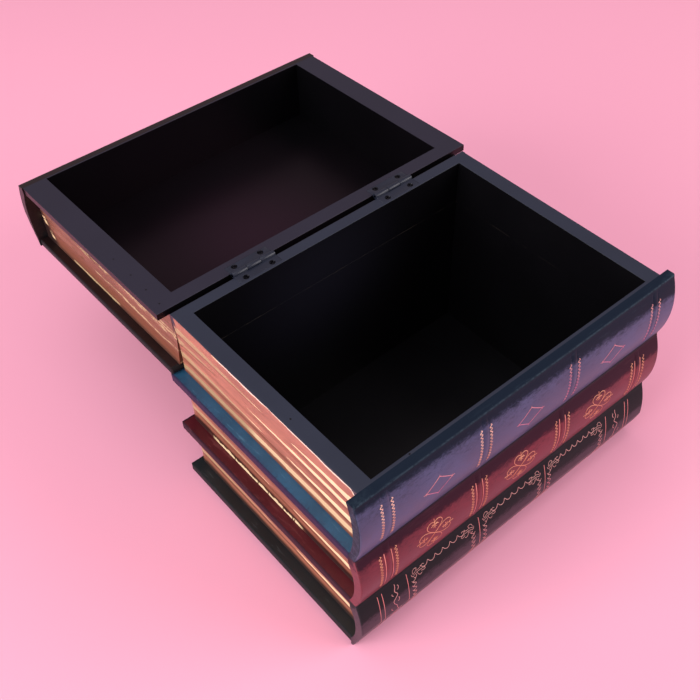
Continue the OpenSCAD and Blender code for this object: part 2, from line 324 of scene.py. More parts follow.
def shade(colour, factor):
    return tuple(min(c * factor, 1) for c in colour[:3])


def leather(name, ground, dark, light, along=(0.12, 1, 1)):
    """Glossy coated leather paper, with duller dark spray that also carries painted shade, and a little wear.
    """
    made = Finish(name, Coat_Roughness=0.22, Coat_IOR=1.45)
    cloud = made.noise(28, 4, 0.6)
    tone = made.shades(made.span(cloud, 0.35, 0.7), ground, 0.84, 1.16)
    tone = made.over(tone, shade(ground, 1.6), made.span(made.noise(700, 3, 0.6), 0.55, 0.8), 0.22)
    streak = made.math("SUBTRACT", made.noise(330, 8, 0.8, (0.6, 1, 1.2), 0.5), 0.5)
    sprayed_and_shaded = made.span(made.times(streak, 1.6, made.painted("sprayed")), 0.2, 0.9)
    tone = made.over(tone, dark, sprayed_and_shaded, 0.96)
    scuff = made.span(made.noise(260, 6, 0.7, along), 0.57, 0.66)
    rubbed = made.times(scuff, made.span(made.painted("rubbed"), 0.05, 1))
    tone = made.over(tone, light, rubbed, 0.3)
    worn = made.times(made.painted("worn"), made.span(made.noise(420, 4, 0.7), 0.36, 0.6))
    tone = made.over(tone, light, worn, 0.5)
    tone = made.over(tone, light, made.span(made.noise(1300, 2, 0.5), 0.76, 0.8), 0.3)
    gloss = made.times(rubbed, 0.18, made.times(made.span(cloud, 0.3, 0.75), 0.12, 0.38))
    return made.done(
        tone, gloss, (made.cells(620), 0.16, 0.22), (made.noise(1800, 3, 0.6), 0.18, 0.08),
        Coat_Weight=made.span(sprayed_and_shaded, 0, 1, 0.16, 0.01), Specular_IOR_Level=made.span(sprayed_and_shaded, 0, 1, 0.3, 0.05),
    )


SCUFF = (0.3, 0.31, 0.36)
# Colour of the painted highlight along the back wall's joint
JOINT_HIGHLIGHT_TONE = (0.055, 0.045, 0.035)
# How far the painted glow of reflected light in a room reaches round its middle
PAINTED_GLOW_REACH = 110


def wood_paint(name, ground, gloss, shine, tint=(1, 1, 1), painted_glow=None):
    """Paint brushed on wood, faintly streaked and scuffed, with a painted highlight along a joint and a
    painted glow of reflected light around one place.
    """
    made = Finish(name, Specular_IOR_Level=shine, Specular_Tint=tint)
    cloud = made.noise(16, 4, 0.55)
    tone = made.shades(cloud, ground, 0.82, 1.2)
    if painted_glow:
        # Painted light: a glow of reflected light laid over the paint around one spot
        tone = made.over(tone, painted_glow[0], made.near(painted_glow[1], PAINTED_GLOW_REACH))
    tone = made.over(tone, SCUFF, made.span(made.noise(520, 4, 0.75, (0.5, 1, 1)), 0.7, 0.76), 0.1)
    # Painted highlight: a light line along the back wall's joint, where its edge catches the light
    chafed = made.times(made.painted("chafed"), made.span(made.noise(60, 4, 0.7), 0.42, 0.6))
    tone = made.over(tone, JOINT_HIGHLIGHT_TONE, chafed)
    brushed = made.noise(320, 4, 0.6, (0.25, 0.25, 1))
    return made.done(tone, made.times(cloud, 0.14, gloss), (brushed, 0.07, 0.1))


# Bright gold for the painted highlight along the blue pages' top edge, and a touch of the red book's torn
# line
BRIGHT_GOLD = (1.0, 0.9, 0.72)


def page_paint(name, ground, under):
    """Copper ground, brown glaze with painted shade in the grooves, pale gold dragged over the ridges that is
    partly painted highlight, and dark paint with painted shade near the covers.
    """
    c = colours()
    made = Finish(name, Coat_Weight=0.12, Coat_Roughness=0.3, Specular_IOR_Level=0.3)
    cloud = made.noise(45, 5, 0.65, (0.35, 0.35, 1))
    fibre = made.noise(900, 3, 0.6, (0.07, 0.07, 1))
    dry = made.noise(520, 5, 0.75, (0.16, 0.16, 1), 0.3)
    streak = made.noise(240, 5, 0.7, (0.1, 0.1, 1), 0.2)
    gilt = made.painted("gilt")
    tone = made.shades(made.span(cloud, 0.35, 0.65), ground, 0.8, 1.14)
    tone = made.over(tone, shade(ground, 1.5), made.span(streak, 0.56, 0.66), 0.3)
    tone = made.over(tone, c.umber, made.span(streak, 0.42, 0.34), 0.35)
    tone = made.over(tone, c.umber, made.painted("glaze"), 0.95)
    pale = made.blend(made.span(fibre, 0.3, 0.7), shade(c.cream, 0.88), c.cream)
    pale = made.over(pale, c.aged, made.painted("aged"))
    # Gold painted beyond 1 turns bright: mostly the painted highlight along the pages' top edge
    pale = made.over(pale, BRIGHT_GOLD, made.span(gilt, 1, 1.5))
    dragged = made.times(made.math("SUBTRACT", dry, 0.5), 1.1, gilt)
    tone = made.over(tone, pale, made.span(dragged, 0.44, 0.56))
    tone = made.over(tone, under, made.painted("soot"))
    return made.done(tone, made.times(fibre, 0.16, 0.32), (fibre, 0.25, 0.12), (dry, 0.15, 0.15))


# Heights in metres between which the foil on the opened lid turns from its darker to its lighter painted tone
LID_FOIL_Z = (0.14, 0.18)


def foil(name, book, low, high):
    """Foil pressed into the leather, from a darker colour low on the spine to a lighter one near its top, as
    painted light on the upper round.
    """
    made = Finish(name, Metallic=0.3, Specular_IOR_Level=0.5)
    foot, top = ((book.spine_z + share * book.spine_h) * MM for share in (0.35, 0.9))
    if book.body == "lid":
        foot, top = LID_FOIL_Z
    height = made.node("ShaderNodeSeparateXYZ", {"Vector": made.places}).outputs["Z"]
    patch = made.math("SUBTRACT", made.noise(150, 3, 0.6), 0.5)
    fine = made.noise(900, 3, 0.7)
    tone = made.blend(made.times(patch, 2.4, made.span(height, foot, top)), low, high)
    tone = made.over(tone, shade(low, 0.5), made.span(fine, 0.6, 0.78))
    return made.done(tone, made.times(fine, 0.3, 0.25), (fine, 0.3, 0.05))


def hinge_enamel(name, paint, steel):
    """Thick black enamel over the hinge leaves, chipped here and there."""
    made = Finish(name, Coat_Weight=0.12, Coat_Roughness=0.2, Specular_IOR_Level=0.3)
    cloud = made.noise(60, 3, 0.5)
    tone = made.shades(cloud, paint, 0.6, 0.95)
    tone = made.over(tone, shade(steel, 3), made.span(made.noise(800, 4, 0.7), 0.68, 0.72), 0.35)
    return made.done(tone, made.times(cloud, 0.1, 0.3), (cloud, 0.1, 0.2))


def bare_steel(name, steel, factor):
    """Blackened steel, scratched bright where the driver and the pin have worked."""
    made = Finish(name, Metallic=1)
    scratch = made.span(made.noise(1100, 4, 0.75, (1, 0.3, 1)), 0.56, 0.66)
    tone = made.shades(scratch, steel, factor, 5 * factor)
    return made.done(tone, made.times(scratch, 0.2, 0.22), (made.noise(600, 3, 0.6), 0.2, 0.1))


def look_table():
    """Each material's maker, followed by what the maker takes after the name."""
    c = colours()
    # Dark colours of the spray, which also serve as painted shade on the leathers
    navy, night, wine = (0.0075, 0.013, 0.023), (0.015, 0.016, 0.018), (0.03, 0.012, 0.021)
    down = (1, 0.12, 1)
    return {
        "black_leather": (leather, c.black, night, (0.13, 0.15, 0.16)),
        "red_leather": (leather, c.red, wine, (0.42, 0.2, 0.2)),
        "blue_leather": (leather, c.blue, navy, (0.22, 0.36, 0.45)),
        "brown_leather": (leather, c.brown, night, (0.2, 0.1, 0.09)),
        "black_cover_leather": (leather, (0.009, 0.0125, 0.0145), night, (0.1, 0.13, 0.14), down),
        "red_cover_leather": (leather, shade(c.red, 0.6), wine, (0.3, 0.1, 0.1), down),
        # The blue cover's purple dark colour is a painted reflection of the pink floor on its outer edge, and
        # painted shadow at the foot of the pages
        "blue_cover_leather": (leather, (0.018, 0.086, 0.17), (0.03, 0.014, 0.042), (0.14, 0.34, 0.5), down),
        # The last colour of each page paint is its dark paint, which also serves as painted shade beside the
        # covers
        "black_page_paint": (page_paint, c.copper, (0.03, 0.014, 0.013)),
        "red_page_paint": (page_paint, shade(c.copper, 0.85), (0.022, 0.006, 0.007)),
        "blue_page_paint": (page_paint, c.copper, c.paint),
        # Painted shade: the lid's page edges are a darker copy of the copper, for the shade under the lid's
        # rim
        "lid_page_paint": (page_paint, shade(c.copper, 0.62), (0.022, 0.010, 0.009)),
        "rim_paint": (wood_paint, c.paint, 0.42, 0.35),
        "lid_rim_paint": (wood_paint, (0.0175, 0.0155, 0.029), 0.42, 0.3),
        # Each room paint ends with the colour and the spot of its painted glow of reflected light
        "room_paint": (
            wood_paint, c.room, 0.24, 0.25, (1, 1, 1), ((0.0085, 0.0082, 0.0135), (-20, 90.7, 133))),
        "lid_room_paint": (
            wood_paint, (0.0019, 0.0021, 0.0027), 0.24, 0.22, (1, 0.45, 0.7),
            ((0.0145, 0.0058, 0.0112), (-15, 180, 127.6))),
        "cream_foil": (foil, BOOK["blue"], (0.62, 0.29, 0.2), (1.0, 0.66, 0.48)),
        "pink_foil": (foil, BOOK["blue"], (0.5, 0.17, 0.27), (0.8, 0.4, 0.33)),
        "gold_foil": (foil, BOOK["red"], (0.55, 0.19, 0.11), (0.78, 0.4, 0.22)),
        "copper_foil": (foil, BOOK["red"], (0.6, 0.2, 0.18), (0.9, 0.4, 0.3)),
        "grey_foil": (foil, BOOK["black"], (0.5, 0.18, 0.2), (0.6, 0.34, 0.3)),
        "rose_foil": (foil, BOOK["black"], (0.42, 0.17, 0.17), (0.75, 0.3, 0.26)),
        "lid_foil": (foil, BOOK["lid"], c.foil, (0.9, 0.55, 0.34)),
        "hinge_enamel": (hinge_enamel, c.paint, c.steel),
        "pin_steel": (bare_steel, c.steel, 0.15),
        "screw_steel": (bare_steel, c.steel, 0.5),
    }


FINISHES = {}


def finish(name):
    """One of the box's materials, made when it is first asked for."""
    if name not in FINISHES:
        maker, *values = look_table()[name]
        FINISHES[name] = maker(name, *values)
    return FINISHES[name]


# Building


def paint(mesh, painted):
    """Paints numbers on the points of a mesh, worked out from their places in millimetres."""
    flat = np.empty(len(mesh.vertices) * 3, np.float32)
    mesh.vertices.foreach_get("co", flat)
    for name, values in painted(flat.reshape(-1, 3) / MM).items():
        layer = mesh.attributes.new(name, "FLOAT", "POINT")
        layer.data.foreach_set("value", np.asarray(values, np.float32))


def smoothstep(low, high, value):
    t = np.clip((value - low) / (high - low), 0, 1)
    return t * t * (3 - 2 * t)


def band(value, low, high, soft):
    """1 between two values, falling to 0 outside them."""
    return smoothstep(low - soft, low + soft, value) * smoothstep(high + soft, high - soft, value)


def wander(s, seed, pace=1.0):
    """Smooth wavering between about -1 and 1 along a length in millimetres."""
    waves = ((0.5, 0.061, 1.7), (0.3, 0.149, 2.9), (0.2, 0.387, 4.3))
    return sum(share * np.sin(quick * pace * s + shift * seed) for share, quick, shift in waves)


def coat_rims(mesh, z):
    """Gives the second material to the flat faces at a rim's height, in millimetres."""
    for face in mesh.polygons:
        if abs(face.normal.z) > 0.3 and abs(face.center.z / MM - z) < 0.6:
            face.material_index = 1


def dress(mesh, looks, sharp):
    """Gives a mesh its materials, and smooth shading up to an angle in degrees."""
    for look in looks:
        mesh.materials.append(finish(look))
    mesh.shade_smooth()
    mesh.set_sharp_from_angle(angle=radians(sharp))


def add_piece(data, body, nodes=()):
    """Adds a mesh or a curve that rides on a body, in place of nodes of the CAD model if any are given."""
    piece = bpy.data.objects.new(data.name, data)
    bpy.context.scene.collection.objects.link(piece)
    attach(piece, body)
    if nodes:
        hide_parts(*nodes)
    return piece


def finish_piece(mesh, body, looks, nodes=(), painted=None, even=True):
    """Paints and dresses a mesh in metres, made with the lid closed, and adds it to its body."""
    if painted:
        paint(mesh, painted)
    if body == "lid":
        mesh.transform(OPENED)
    dress(mesh, looks, 40)
    piece = add_piece(mesh, body, nodes)
    if even:
        piece.modifiers.new("even_shading", "WEIGHTED_NORMAL").keep_sharp = True
    return piece


def close_mesh(bm, name):
    """Turns a bmesh drawn in millimetres into a mesh in metres."""
    bmesh.ops.recalc_face_normals(bm, faces=bm.faces)
    bmesh.ops.scale(bm, vec=(MM, MM, MM), verts=bm.verts)
    mesh = bpy.data.meshes.new(name)
    bm.to_mesh(mesh)
    bm.free()
    return mesh


def bevel(bm, edges, offset, segments):
    if edges:
        bmesh.ops.bevel(
            bm, geom=edges, offset=offset, offset_type="OFFSET", segments=segments, profile=0.5,
            affect="EDGES", material=-1, clamp_overlap=True,
        )


def extruded(bm, faces, move):
    """Extrudes faces into a closed solid and returns the new points."""
    made = bmesh.ops.extrude_face_region(bm, geom=faces)["geom"]
    moved = [v for v in made if isinstance(v, bmesh.types.BMVert)]
    bmesh.ops.translate(bm, vec=move, verts=moved)
    return moved


def sharp_edges(bm, test=lambda p: True, least=0.5):
    """Edges between faces that meet at more than an angle, and whose two ends pass a test."""
    return [
        e for e in bm.edges
        if len(e.link_faces) == 2 and e.calc_face_angle(0) > least and all(test(v.co) for v in e.verts)
    ]


def lies_along(edge, y):
    """Whether both ends of an edge stand at a depth."""
    return all(abs(v.co.y - y) < NEAR for v in edge.verts)


def cut_across(bm, place, normal):
    """Cuts the faces that cross a plane."""
    bmesh.ops.bisect_plane(
        bm, geom=bm.verts[:] + bm.edges[:] + bm.faces[:], dist=1e-4, plane_co=place, plane_no=normal
    )


def spin_arc(bm, y, z, chord, rise, steps):
    """Points up an arc over a vertical chord that swells out towards -Y."""
    radius = arc_radius(chord, rise)
    turn = 2 * atan2(chord / 2, radius - rise)
    first = bm.verts.new((0, y, z))
    before = set(bm.verts)
    bmesh.ops.spin(
        bm, geom=[first], cent=(0, y - rise + radius, z + chord / 2), axis=(1, 0, 0), dvec=(0, 0, 0),
        angle=-turn, steps=steps, use_merge=False, use_duplicate=False,
    )
    bm.verts.index_update()
    spun = sorted((v for v in bm.verts if v is first or v not in before), key=lambda v: v.co.z)
    return spun[0], spun[-1]


# Spines

# Middles of the ribs on each spine, in millimetres
RIBS = {
    "black": (),
    "red": (-128.5, -43.9, 41.9, 127.7),
    "blue": (-130.5, -44.2, 42.2, 130.3),
    "lid": (-128.0, -43.5, 43.5, 128.0),
}
# Depth of the grooves beside a rib
RIB_GROOVE = 0.3


def rib_relief(x, ribs):
    """Height of a spine's surface over the leather, across its ribs."""
    half = sizes().rib_width / MM / 2
    rise = sizes().rib_height / MM
    height = 0.0
    for rib in ribs:
        off = abs(x - rib)
        height += rise * float(smoothstep(half, half * 0.35, off))
        height -= RIB_GROOVE * float(smoothstep(1.0, 0.0, abs(off - half - 0.5)))
    return height


def spine_mesh(book):
    bm = bmesh.new()
    bottom, top = spin_arc(bm, -FRONT - SPINE_EDGE, book.spine_z, book.spine_h, SPINE_BULGE, 44)
    for v in bm.verts:
        v.co.y = book.outer_y(v.co.z)
    hollow_h = book.pages_h - 2 * SPINE_FOOT
    low, high = spin_arc(bm, -FRONT, book.pages_z + SPINE_FOOT, hollow_h, SPINE_HOLLOW, 24)
    under = bm.verts.new((0, -FRONT, book.spine_z))
    over = bm.verts.new((0, -FRONT, book.spine_top))
    for a, b in ((bottom, under), (under, low), (high, over), (over, top)):
        bm.edges.new((a, b))
    bmesh.ops.contextual_create(bm, geom=bm.edges[:])
    bmesh.ops.translate(bm, vec=(-SPINE_X, 0, 0), verts=bm.verts)
    extruded(bm, bm.faces[:], (2 * SPINE_X, 0, 0))
    half = sizes().rib_width / MM / 2
    ribs = RIBS[book.name]
    cuts = (half + 1.6, half + 1, half + 0.5, half, 0.72 * half, 0.35 * half)
    stations = [rib + side * cut for rib in ribs for side in (-1, 1) for cut in cuts] + list(ribs)
    for x in sorted(stations):
        cut_across(bm, (x, 0, 0), (1, 0, 0))
    for v in bm.verts:
        if abs(v.co.y - book.outer_y(v.co.z)) <= 0.02:
            near_end = book.from_ends(v.co.z)
            relief = rib_relief(v.co.x, ribs) * float(smoothstep(1.5, 7, near_end))
            v.co += book.outward(v.co.z) * (relief - LEATHER_SINK * float(smoothstep(0, 3, near_end)))
    bevel(bm, sharp_edges(bm, lambda p: p.y < book.outer_y(p.z) + 0.6, 0.3), sizes().leather_round / MM, 4)
    in_hollow = sharp_edges(
        bm, lambda p: abs(abs(p.x) - SPINE_X) < NEAR and -SPINE_HOLLOW - 0.1 < p.y + FRONT < -0.05
    )
    bevel(bm, in_hollow, 0.4, 2)
    return close_mesh(bm, f"{book.name}_spine_leather")


SPINE_LOOK = {"black": "black_leather", "red": "red_leather", "blue": "blue_leather", "lid": "brown_leather"}
# Share of a spine's height that is sprayed dark at its left end, in the middle and at its right end
SPRAY = {
    "black": (0.3, 0.34, 0.36), "red": (0.16, 0.22, 0.28), "blue": (0.1, 0.18, 0.26), "lid": (0.2, 0.2, 0.2),
}
# How dark the end faces are painted, partly as their own dark spray and partly as painted shade
END_SPRAY = {"black": 0.35, "red": 0.3, "blue": 0.78, "lid": 0.4}


def spine_paint(book):
    """Dark spray along the top of a spine, painted shade along the bottom of the red and blue spines and on
    the end faces, and wear on its edges, partly a painted highlight on the blue spine's top edge.
    """
    def painted(p):
        x, y, z = p.T
        up = (z - book.spine_z) / book.spine_h
        depth = np.interp(x, (-SPINE_X, 20, SPINE_X), SPRAY[book.name])
        border = 1 - depth
        sprayed = 1.2 * smoothstep(border - 0.15, border + 0.15, up)
        sprayed = np.maximum(sprayed, 0.36 * smoothstep(border - 0.5, border - 0.05, up))
        if book.name in ("red", "blue"):
            # Painted shade: the red and blue spines darken towards their bottom, where the round turns under
            foot = 0.6 * smoothstep(0.16, 0.0, up) + 0.4 * smoothstep(0.05, 0.02, up)
            sprayed = np.maximum(sprayed, foot)
        front = y < -FRONT - 3
        near_top = np.abs(z - book.spine_top) < 0.9
        near_end = np.abs(np.abs(x) - SPINE_X) < 0.9
        # A light line on the blue spine's top front edge: partly wear, partly a painted highlight of the
        # rounded edge
        edge = near_top & (np.abs(y + FRONT + SPINE_EDGE) < 0.5) & (book.name == "blue")
        top_face = near_top & (y > -FRONT - SPINE_EDGE + 0.8)
        end_face = np.abs(x) > SPINE_X - 0.3
        # Top faces get the dark spray; end faces get dark paint that is partly painted shade
        sprayed = np.where(top_face, 1.3, np.where(end_face, END_SPRAY[book.name], sprayed))
        rubbed = np.where(front, 0.25 * smoothstep(border - 0.05, border + 0.12, up), 0)
        return {"sprayed": sprayed, "rubbed": rubbed, "worn": 0.11 * edge + 0.12 * (near_end & front)}
    return painted


class BOOKBOX_OT_spines(bpy.types.Operator):
    """Make the four rounded spines with their ribs"""

    bl_idname = "book_box.spines"
    bl_label = "Spines"

    def execute(self, context):
        for book in BOOKS:
            finish_piece(spine_mesh(book), book.body, [SPINE_LOOK[book.name]], [f"{book.name}_spine"],
                         spine_paint(book))
        return {"FINISHED"}


# Tooling on the spines

# A path is a list of places on a spine, X and Z in millimetres, which may carry a thickness after them


def rope(x, z0, z1, swing=1.0, wave=3.15, swell=0.12, cuts=None):
    """A waved line up the spine, thicker where it crosses over."""
    path = []
    for z in np.linspace(z0, z1, cuts or int((z1 - z0) / wave * 10) + 1):
        phase = tau * (z1 - z) / wave
        path.append((x + swing * sin(phase), z, 1 + swell * cos(phase)))
    return path


def line(x, z0, z1, cuts=25):
    return [(x, z) for z in np.linspace(z0, z1, cuts)]


def curve_through(points, cuts=6):
    """Smooth path through a few points."""
    path = []
    for i in range(len(points) - 1):
        around = [points[min(max(i + k, 0), len(points) - 1)] for k in (-1, 0, 1, 2)]
        for t in np.arange(cuts) / cuts:
            path.append(tuple(
                0.5 * (2 * q + (r - p) * t + (2 * p - 5 * q + 4 * r - s) * t**2
                       + (3 * q - p - 3 * r + s) * t**3)
                for p, q, r, s in zip(*around)
            ))
    path.append(points[-1])
    return path


def thick(path, factor):
    return [(*place[:2], factor * (place[2] if len(place) > 2 else 1)) for place in path]


def placed(path, x, z, wide=1, high=1, quarter=0):
    """Path turned by quarters of a circle, stretched or mirrored, and moved to a place."""
    c, s = ((1, 0), (0, 1), (-1, 0), (0, -1))[quarter]
    return [(x + wide * (u * c - v * s), z + high * (u * s + v * c), *more) for u, v, *more in path]


def diamond(x, z, half_x=11.8, half_z=8.9):
    """Diamond with slightly hollow sides and a fine cross at each corner."""
    tips = [(half_x, 0), (0, half_z), (-half_x, 0), (0, -half_z)]
    paths = []
    for a, b in zip(tips, tips[1:] + tips[:1]):
        middle = ((a[0] + b[0]) * 0.47, (a[1] + b[1]) * 0.47)
        side = [
            tuple((1 - t) ** 2 * p + 2 * t * (1 - t) * q + t * t * r for p, q, r in zip(a, middle, b))
            for t in np.arange(11) / 10
        ]
        paths.append(thick(side, 1.35))
    for u, v in tips:
        paths.append(thick([(u * k, v * k) for k in (0.97, 1.07, 1.16)], 0.6))
        paths.append(thick([(u + k * 0.09 * v, v + k * 0.12 * u) for k in (-1, 0, 1)], 0.6))
    return [placed(path, x, z) for path in paths]


# One heart of the four-leaf sprig and the small cross in it, drawn upwards from the sprig's middle
HEART = [
    (0, 0), (-2.2, 2.4), (-4.6, 5.2), (-6.3, 8.4), (-6.2, 11.2), (-4.4, 13.2), (-2.0, 13.4), (-0.3, 12.3),
]
HEART = thick(curve_through(HEART + [(-u, v) for u, v in HEART[::-1]]), 0.95)
SPRIG = [
    thick([(0, 6.2), (0, 9.0), (0, 12.0), (0, 15.8)], 1.15),
    thick(curve_through([(-3.2, 8.9), (-1.4, 9.5), (0, 9.3), (1.4, 9.5), (3.2, 8.9)]), 1.15),
    thick(curve_through([(-2.4, 11.0), (-1.4, 10.3), (0, 10.6), (1.4, 10.3), (2.4, 11.0)]), 0.7),
    thick(curve_through([(-1.6, 7.2), (0, 7.9), (1.6, 7.2)]), 0.7),
]


def quatrefoil(x, z, wide=1.07, high=0.9):
    """Four hearts that cross in the middle, each with a small cross in it."""
    return [placed(path, x, z, wide, high, quarter) for quarter in range(4) for path in [HEART] + SPRIG]


VINE = [
    (0.4, 27), (0.4, 24.5), (-0.5, 20.5), (1.6, 16.7), (-0.4, 13.8), (-2.5, 11.3), (-2.0, 8.0), (-0.2, 5.0),
    (0.6, 1.0), (1.9, -3.0), (0.4, -7.0), (-1.8, -10.0), (-1.6, -14.0), (0.4, -18.0), (0.2, -24.0),
]
VINE_LEAVES = [
    [(2.1, 20.6), (3.1, 21.6), (3.4, 23.4), (2.6, 24.8)], [(-2.2, 17.2), (-3.2, 18.2), (-3.3, 20.0)],
    [(1.4, 8.4), (2.4, 9.6), (2.6, 11.8), (1.8, 12.6)], [(-3.8, 1.4), (-5.0, 2.4), (-4.9, 4.4)],
    [(3.4, -4.6), (4.4, -3.2), (4.2, -1.4)], [(-3.6, -10.0), (-4.4, -8.4), (-3.8, -6.8)],
    [(2.0, -14.4), (3.0, -12.8), (2.6, -11.0)],
]


def vine(x, z, flip=1):
    """Waved stem up the spine with small leaves beside its bends."""
    leaves = [thick(curve_through(leaf, 4), 1.1) for leaf in VINE_LEAVES]
    return [placed(path, x, z, flip) for path in [thick(curve_through(VINE), 1.25), *leaves]]


# Lines of a panel's corner, from its outermost point inwards, and one length of the wave along its top
CORNER = [thick(curve_through(points), 0.78) for points in (
    [(-1.4, -0.4), (-0.8, 1.8), (1.0, 2.8), (2.8, 2.0), (2.0, 0.8)],
    [(-1.4, -1.6), (1.8, 0.0), (5.0, 0.0), (8.2, 1.6), (9.8, 0.9)],
    [(-0.4, -3.0), (2.5, -1.8), (6.2, -1.8), (9.4, -2.2), (10.4, -3.4), (9.0, -4.2), (6.6, -3.4)],
    [(3.0, -2.4), (3.8, -4.8), (5.4, -6.2), (7.0, -5.4)],
    [(1.6, -3.0), (1.9, -4.6), (0.6, -5.8), (-0.8, -5.0)],
    [(-0.6, -3.6), (-2.2, -2.6), (-2.6, -0.8)],
)]
SCALLOP = [(0, 1.6), (0.7, 0.8), (1.9, -0.9), (3.6, -1.8), (5.3, -1.2), (6.3, 0.3)]
SCALLOP_LONG = 6.95


def panel(x0, x1, z0, z1):
    """Frame of scalloped lines with curled leaves in its corners."""
    paths = []
    start, stop = x0 + 8.5, x1 - 8.5
    waves = round((stop - start) / SCALLOP_LONG)
    wave = (stop - start) / waves
    scallops = [(start + wave * (i + u / SCALLOP_LONG), v) for i in range(waves) for u, v in SCALLOP]
    for z, tip in ((z1, 1), (z0, -1)):
        paths.append(placed(curve_through(scallops + [(stop, 1.6)], 4), 0, z, 1, tip))
        for x, flip in ((x0, 1), (x1, -1)):
            paths += [placed(path, x + flip * 2.2, z, flip, tip) for path in CORNER]
    for x, flip in ((x0 + 1.4, 1), (x1 - 1.4, -1)):
        paths.append(rope(x, z0 + 5, z1 - 5, flip * 1.5, 5, 0.3, 90))
        for z in np.arange(z1 - 8, z0 + 6, -5.0):
            paths.append(placed([(-0.4, -0.8), (-1.6, -0.2), (-2.4, 1.0)], x, z, flip))
    return paths


def blue_tooling(book):
    z0, z1 = book.spine_z + 13.5, book.spine_top - 10.5
    diamonds = sum((diamond(x, book.centre_z - 0.7) for x in (-86.9, -1.5, 84.8)), [])
    left, right = ([rope(x + side * 4.4, z0, z1) for x in ribs for side in (-1, 1)]
                   for ribs in (RIBS["blue"][:2], RIBS["blue"][2:]))
    return {"cream_foil": left, "pink_foil": diamonds + right}


def red_tooling(book):
    z0, z1 = book.spine_z + 12.5, book.spine_top - 9
    ropes = [rope(x + side * 6.8, z0, z1) for x in RIBS["red"] for side in (-1, 1)]
    lines = [thick(line(x + side * 3.1, z0, z1), 1.15) for x in RIBS["red"] for side in (-1, 1)]
    leaves = sum((quatrefoil(x, book.centre_z + 3.2) for x in (-87.2, -2.3, 82.6)), [])
    return {"gold_foil": ropes + leaves, "copper_foil": lines}


def black_tooling(book):
    z0, z1 = book.spine_z + 5.5, book.spine_top - 4.8
    lines = [thick(line(x, z0, z1), 1.1) for x in (-136.0, -132.0, -109.0, -37.4, 34.0, 106.0, 129.4, 133.5)]
    ornament = vine(-120.8, book.centre_z - 0.5) + vine(117.8, book.centre_z - 0.5, -1)
    for x0, x1 in ((-104.6, -43.2), (-33.1, 28.6), (37.5, 100.6)):
        ornament += panel(x0, x1, z0 + 3, z1 - 3.2)
    return {"rose_foil": lines, "grey_foil": ornament}


def lid_tooling(book):
    z0, z1 = book.spine_z + 7, book.spine_top - 7
    paths = [line(x + side * k, z0, z1) for x in RIBS["lid"] for side in (-1, 1) for k in (3.8, 6.2)]
    for x in (-86, 0, 86):
        paths += quatrefoil(x, book.centre_z, 0.85, 0.75) + diamond(x, book.centre_z, 25, 21)
    return {"lid_foil": paths}


TOOLING = {"black": black_tooling, "red": red_tooling, "blue": blue_tooling, "lid": lid_tooling}
# How far the foil stands up from the leather
FOIL_RISE = 0.22


def pressed_lines(name, book, paths, look):
    """Thin half-sunk lines of foil that follow the round of a spine."""
    half = sizes().foil_width / MM / 2
    curve = bpy.data.curves.new(name, "CURVE")
    curve.dimensions = "3D"
    curve.bevel_depth = half * MM
    curve.bevel_resolution = 1
    curve.use_fill_caps = True
    for path in paths:
        spline = curve.splines.new("POLY")
        spline.points.add(len(path) - 1)
        for point, (x, z, *swell) in zip(spline.points, path):
            point.radius = swell[0] if swell else 1
            point.co = (*book.on_spine(x, z, FOIL_RISE - half * point.radius), 1)
    if book.body == "lid":
        curve.transform(OPENED)
    curve.materials.append(finish(look))
    add_piece(curve, book.body)


class BOOKBOX_OT_tooling(bpy.types.Operator):
    """Press the foil lines and ornaments into the spines"""

    bl_idname = "book_box.tooling"
    bl_label = "Tooling"

    def execute(self, context):
        for book in BOOKS:
            for look, paths in TOOLING[book.name](book).items():
                pressed_lines(f"{book.name}_spine_{look}", book, paths, look)
        return {"FINISHED"}


# Covers


def outline_solid(points, z0, z1):
    """Solid with an outline given in X and Y, from z0 to z1."""
    bm = bmesh.new()
    corners = [bm.verts.new((x, y, z0)) for x, y in points]
    loop = [bm.edges.new((a, b)) for a, b in zip(corners, corners[1:] + corners[:1])]
    bmesh.ops.contextual_create(bm, geom=loop)
    extruded(bm, bm.faces[:], (0, 0, z1 - z0))
    bmesh.ops.recalc_face_normals(bm, faces=bm.faces)
    return bm


def cover_mesh(points, z0, z1, back):
    """Leather-covered board, rounded on its three outer sides."""
    bm = outline_solid(points, z0, z1)
    posts = sharp_edges(bm, lambda p: abs(abs(p.x) - COVER_X) < NEAR and abs(p.y - back) < NEAR)
    bevel(bm, posts, CORNER_R, 6)
    inner_x, inner_y = COVER_X - CORNER_R - NEAR, back - CORNER_R - NEAR
    rims = [
        e for e in sharp_edges(bm, lambda p: abs(p.x) > inner_x or p.y > inner_y)
        if abs(e.verts[0].co.z - e.verts[1].co.z) < NEAR
        and not lies_along(e, -FRONT) and not lies_along(e, CORE_BACK)
    ]
    bevel(bm, rims, sizes().leather_round / MM, 4)
    wide = [f for f in bm.faces if f.calc_area() > 300]
    bmesh.ops.inset_individual(bm, faces=wide, thickness=0.9, depth=0, use_even_offset=True)
    return bm


def line_room(bm, front, back, z):
    """Gives the second material to the part of a board that is the floor of a room."""
    for x in (-ROOM_X, ROOM_X):
        cut_across(bm, (x, 0, 0), (1, 0, 0))
    for y in (front, back):
        cut_across(bm, (0, y, 0), (0, 1, 0))
    for face in bm.faces:
        at = face.calc_center_median()
        if abs(at.x) < ROOM_X and front < at.y < back and abs(at.z - z) < NEAR:
            face.material_index = 1


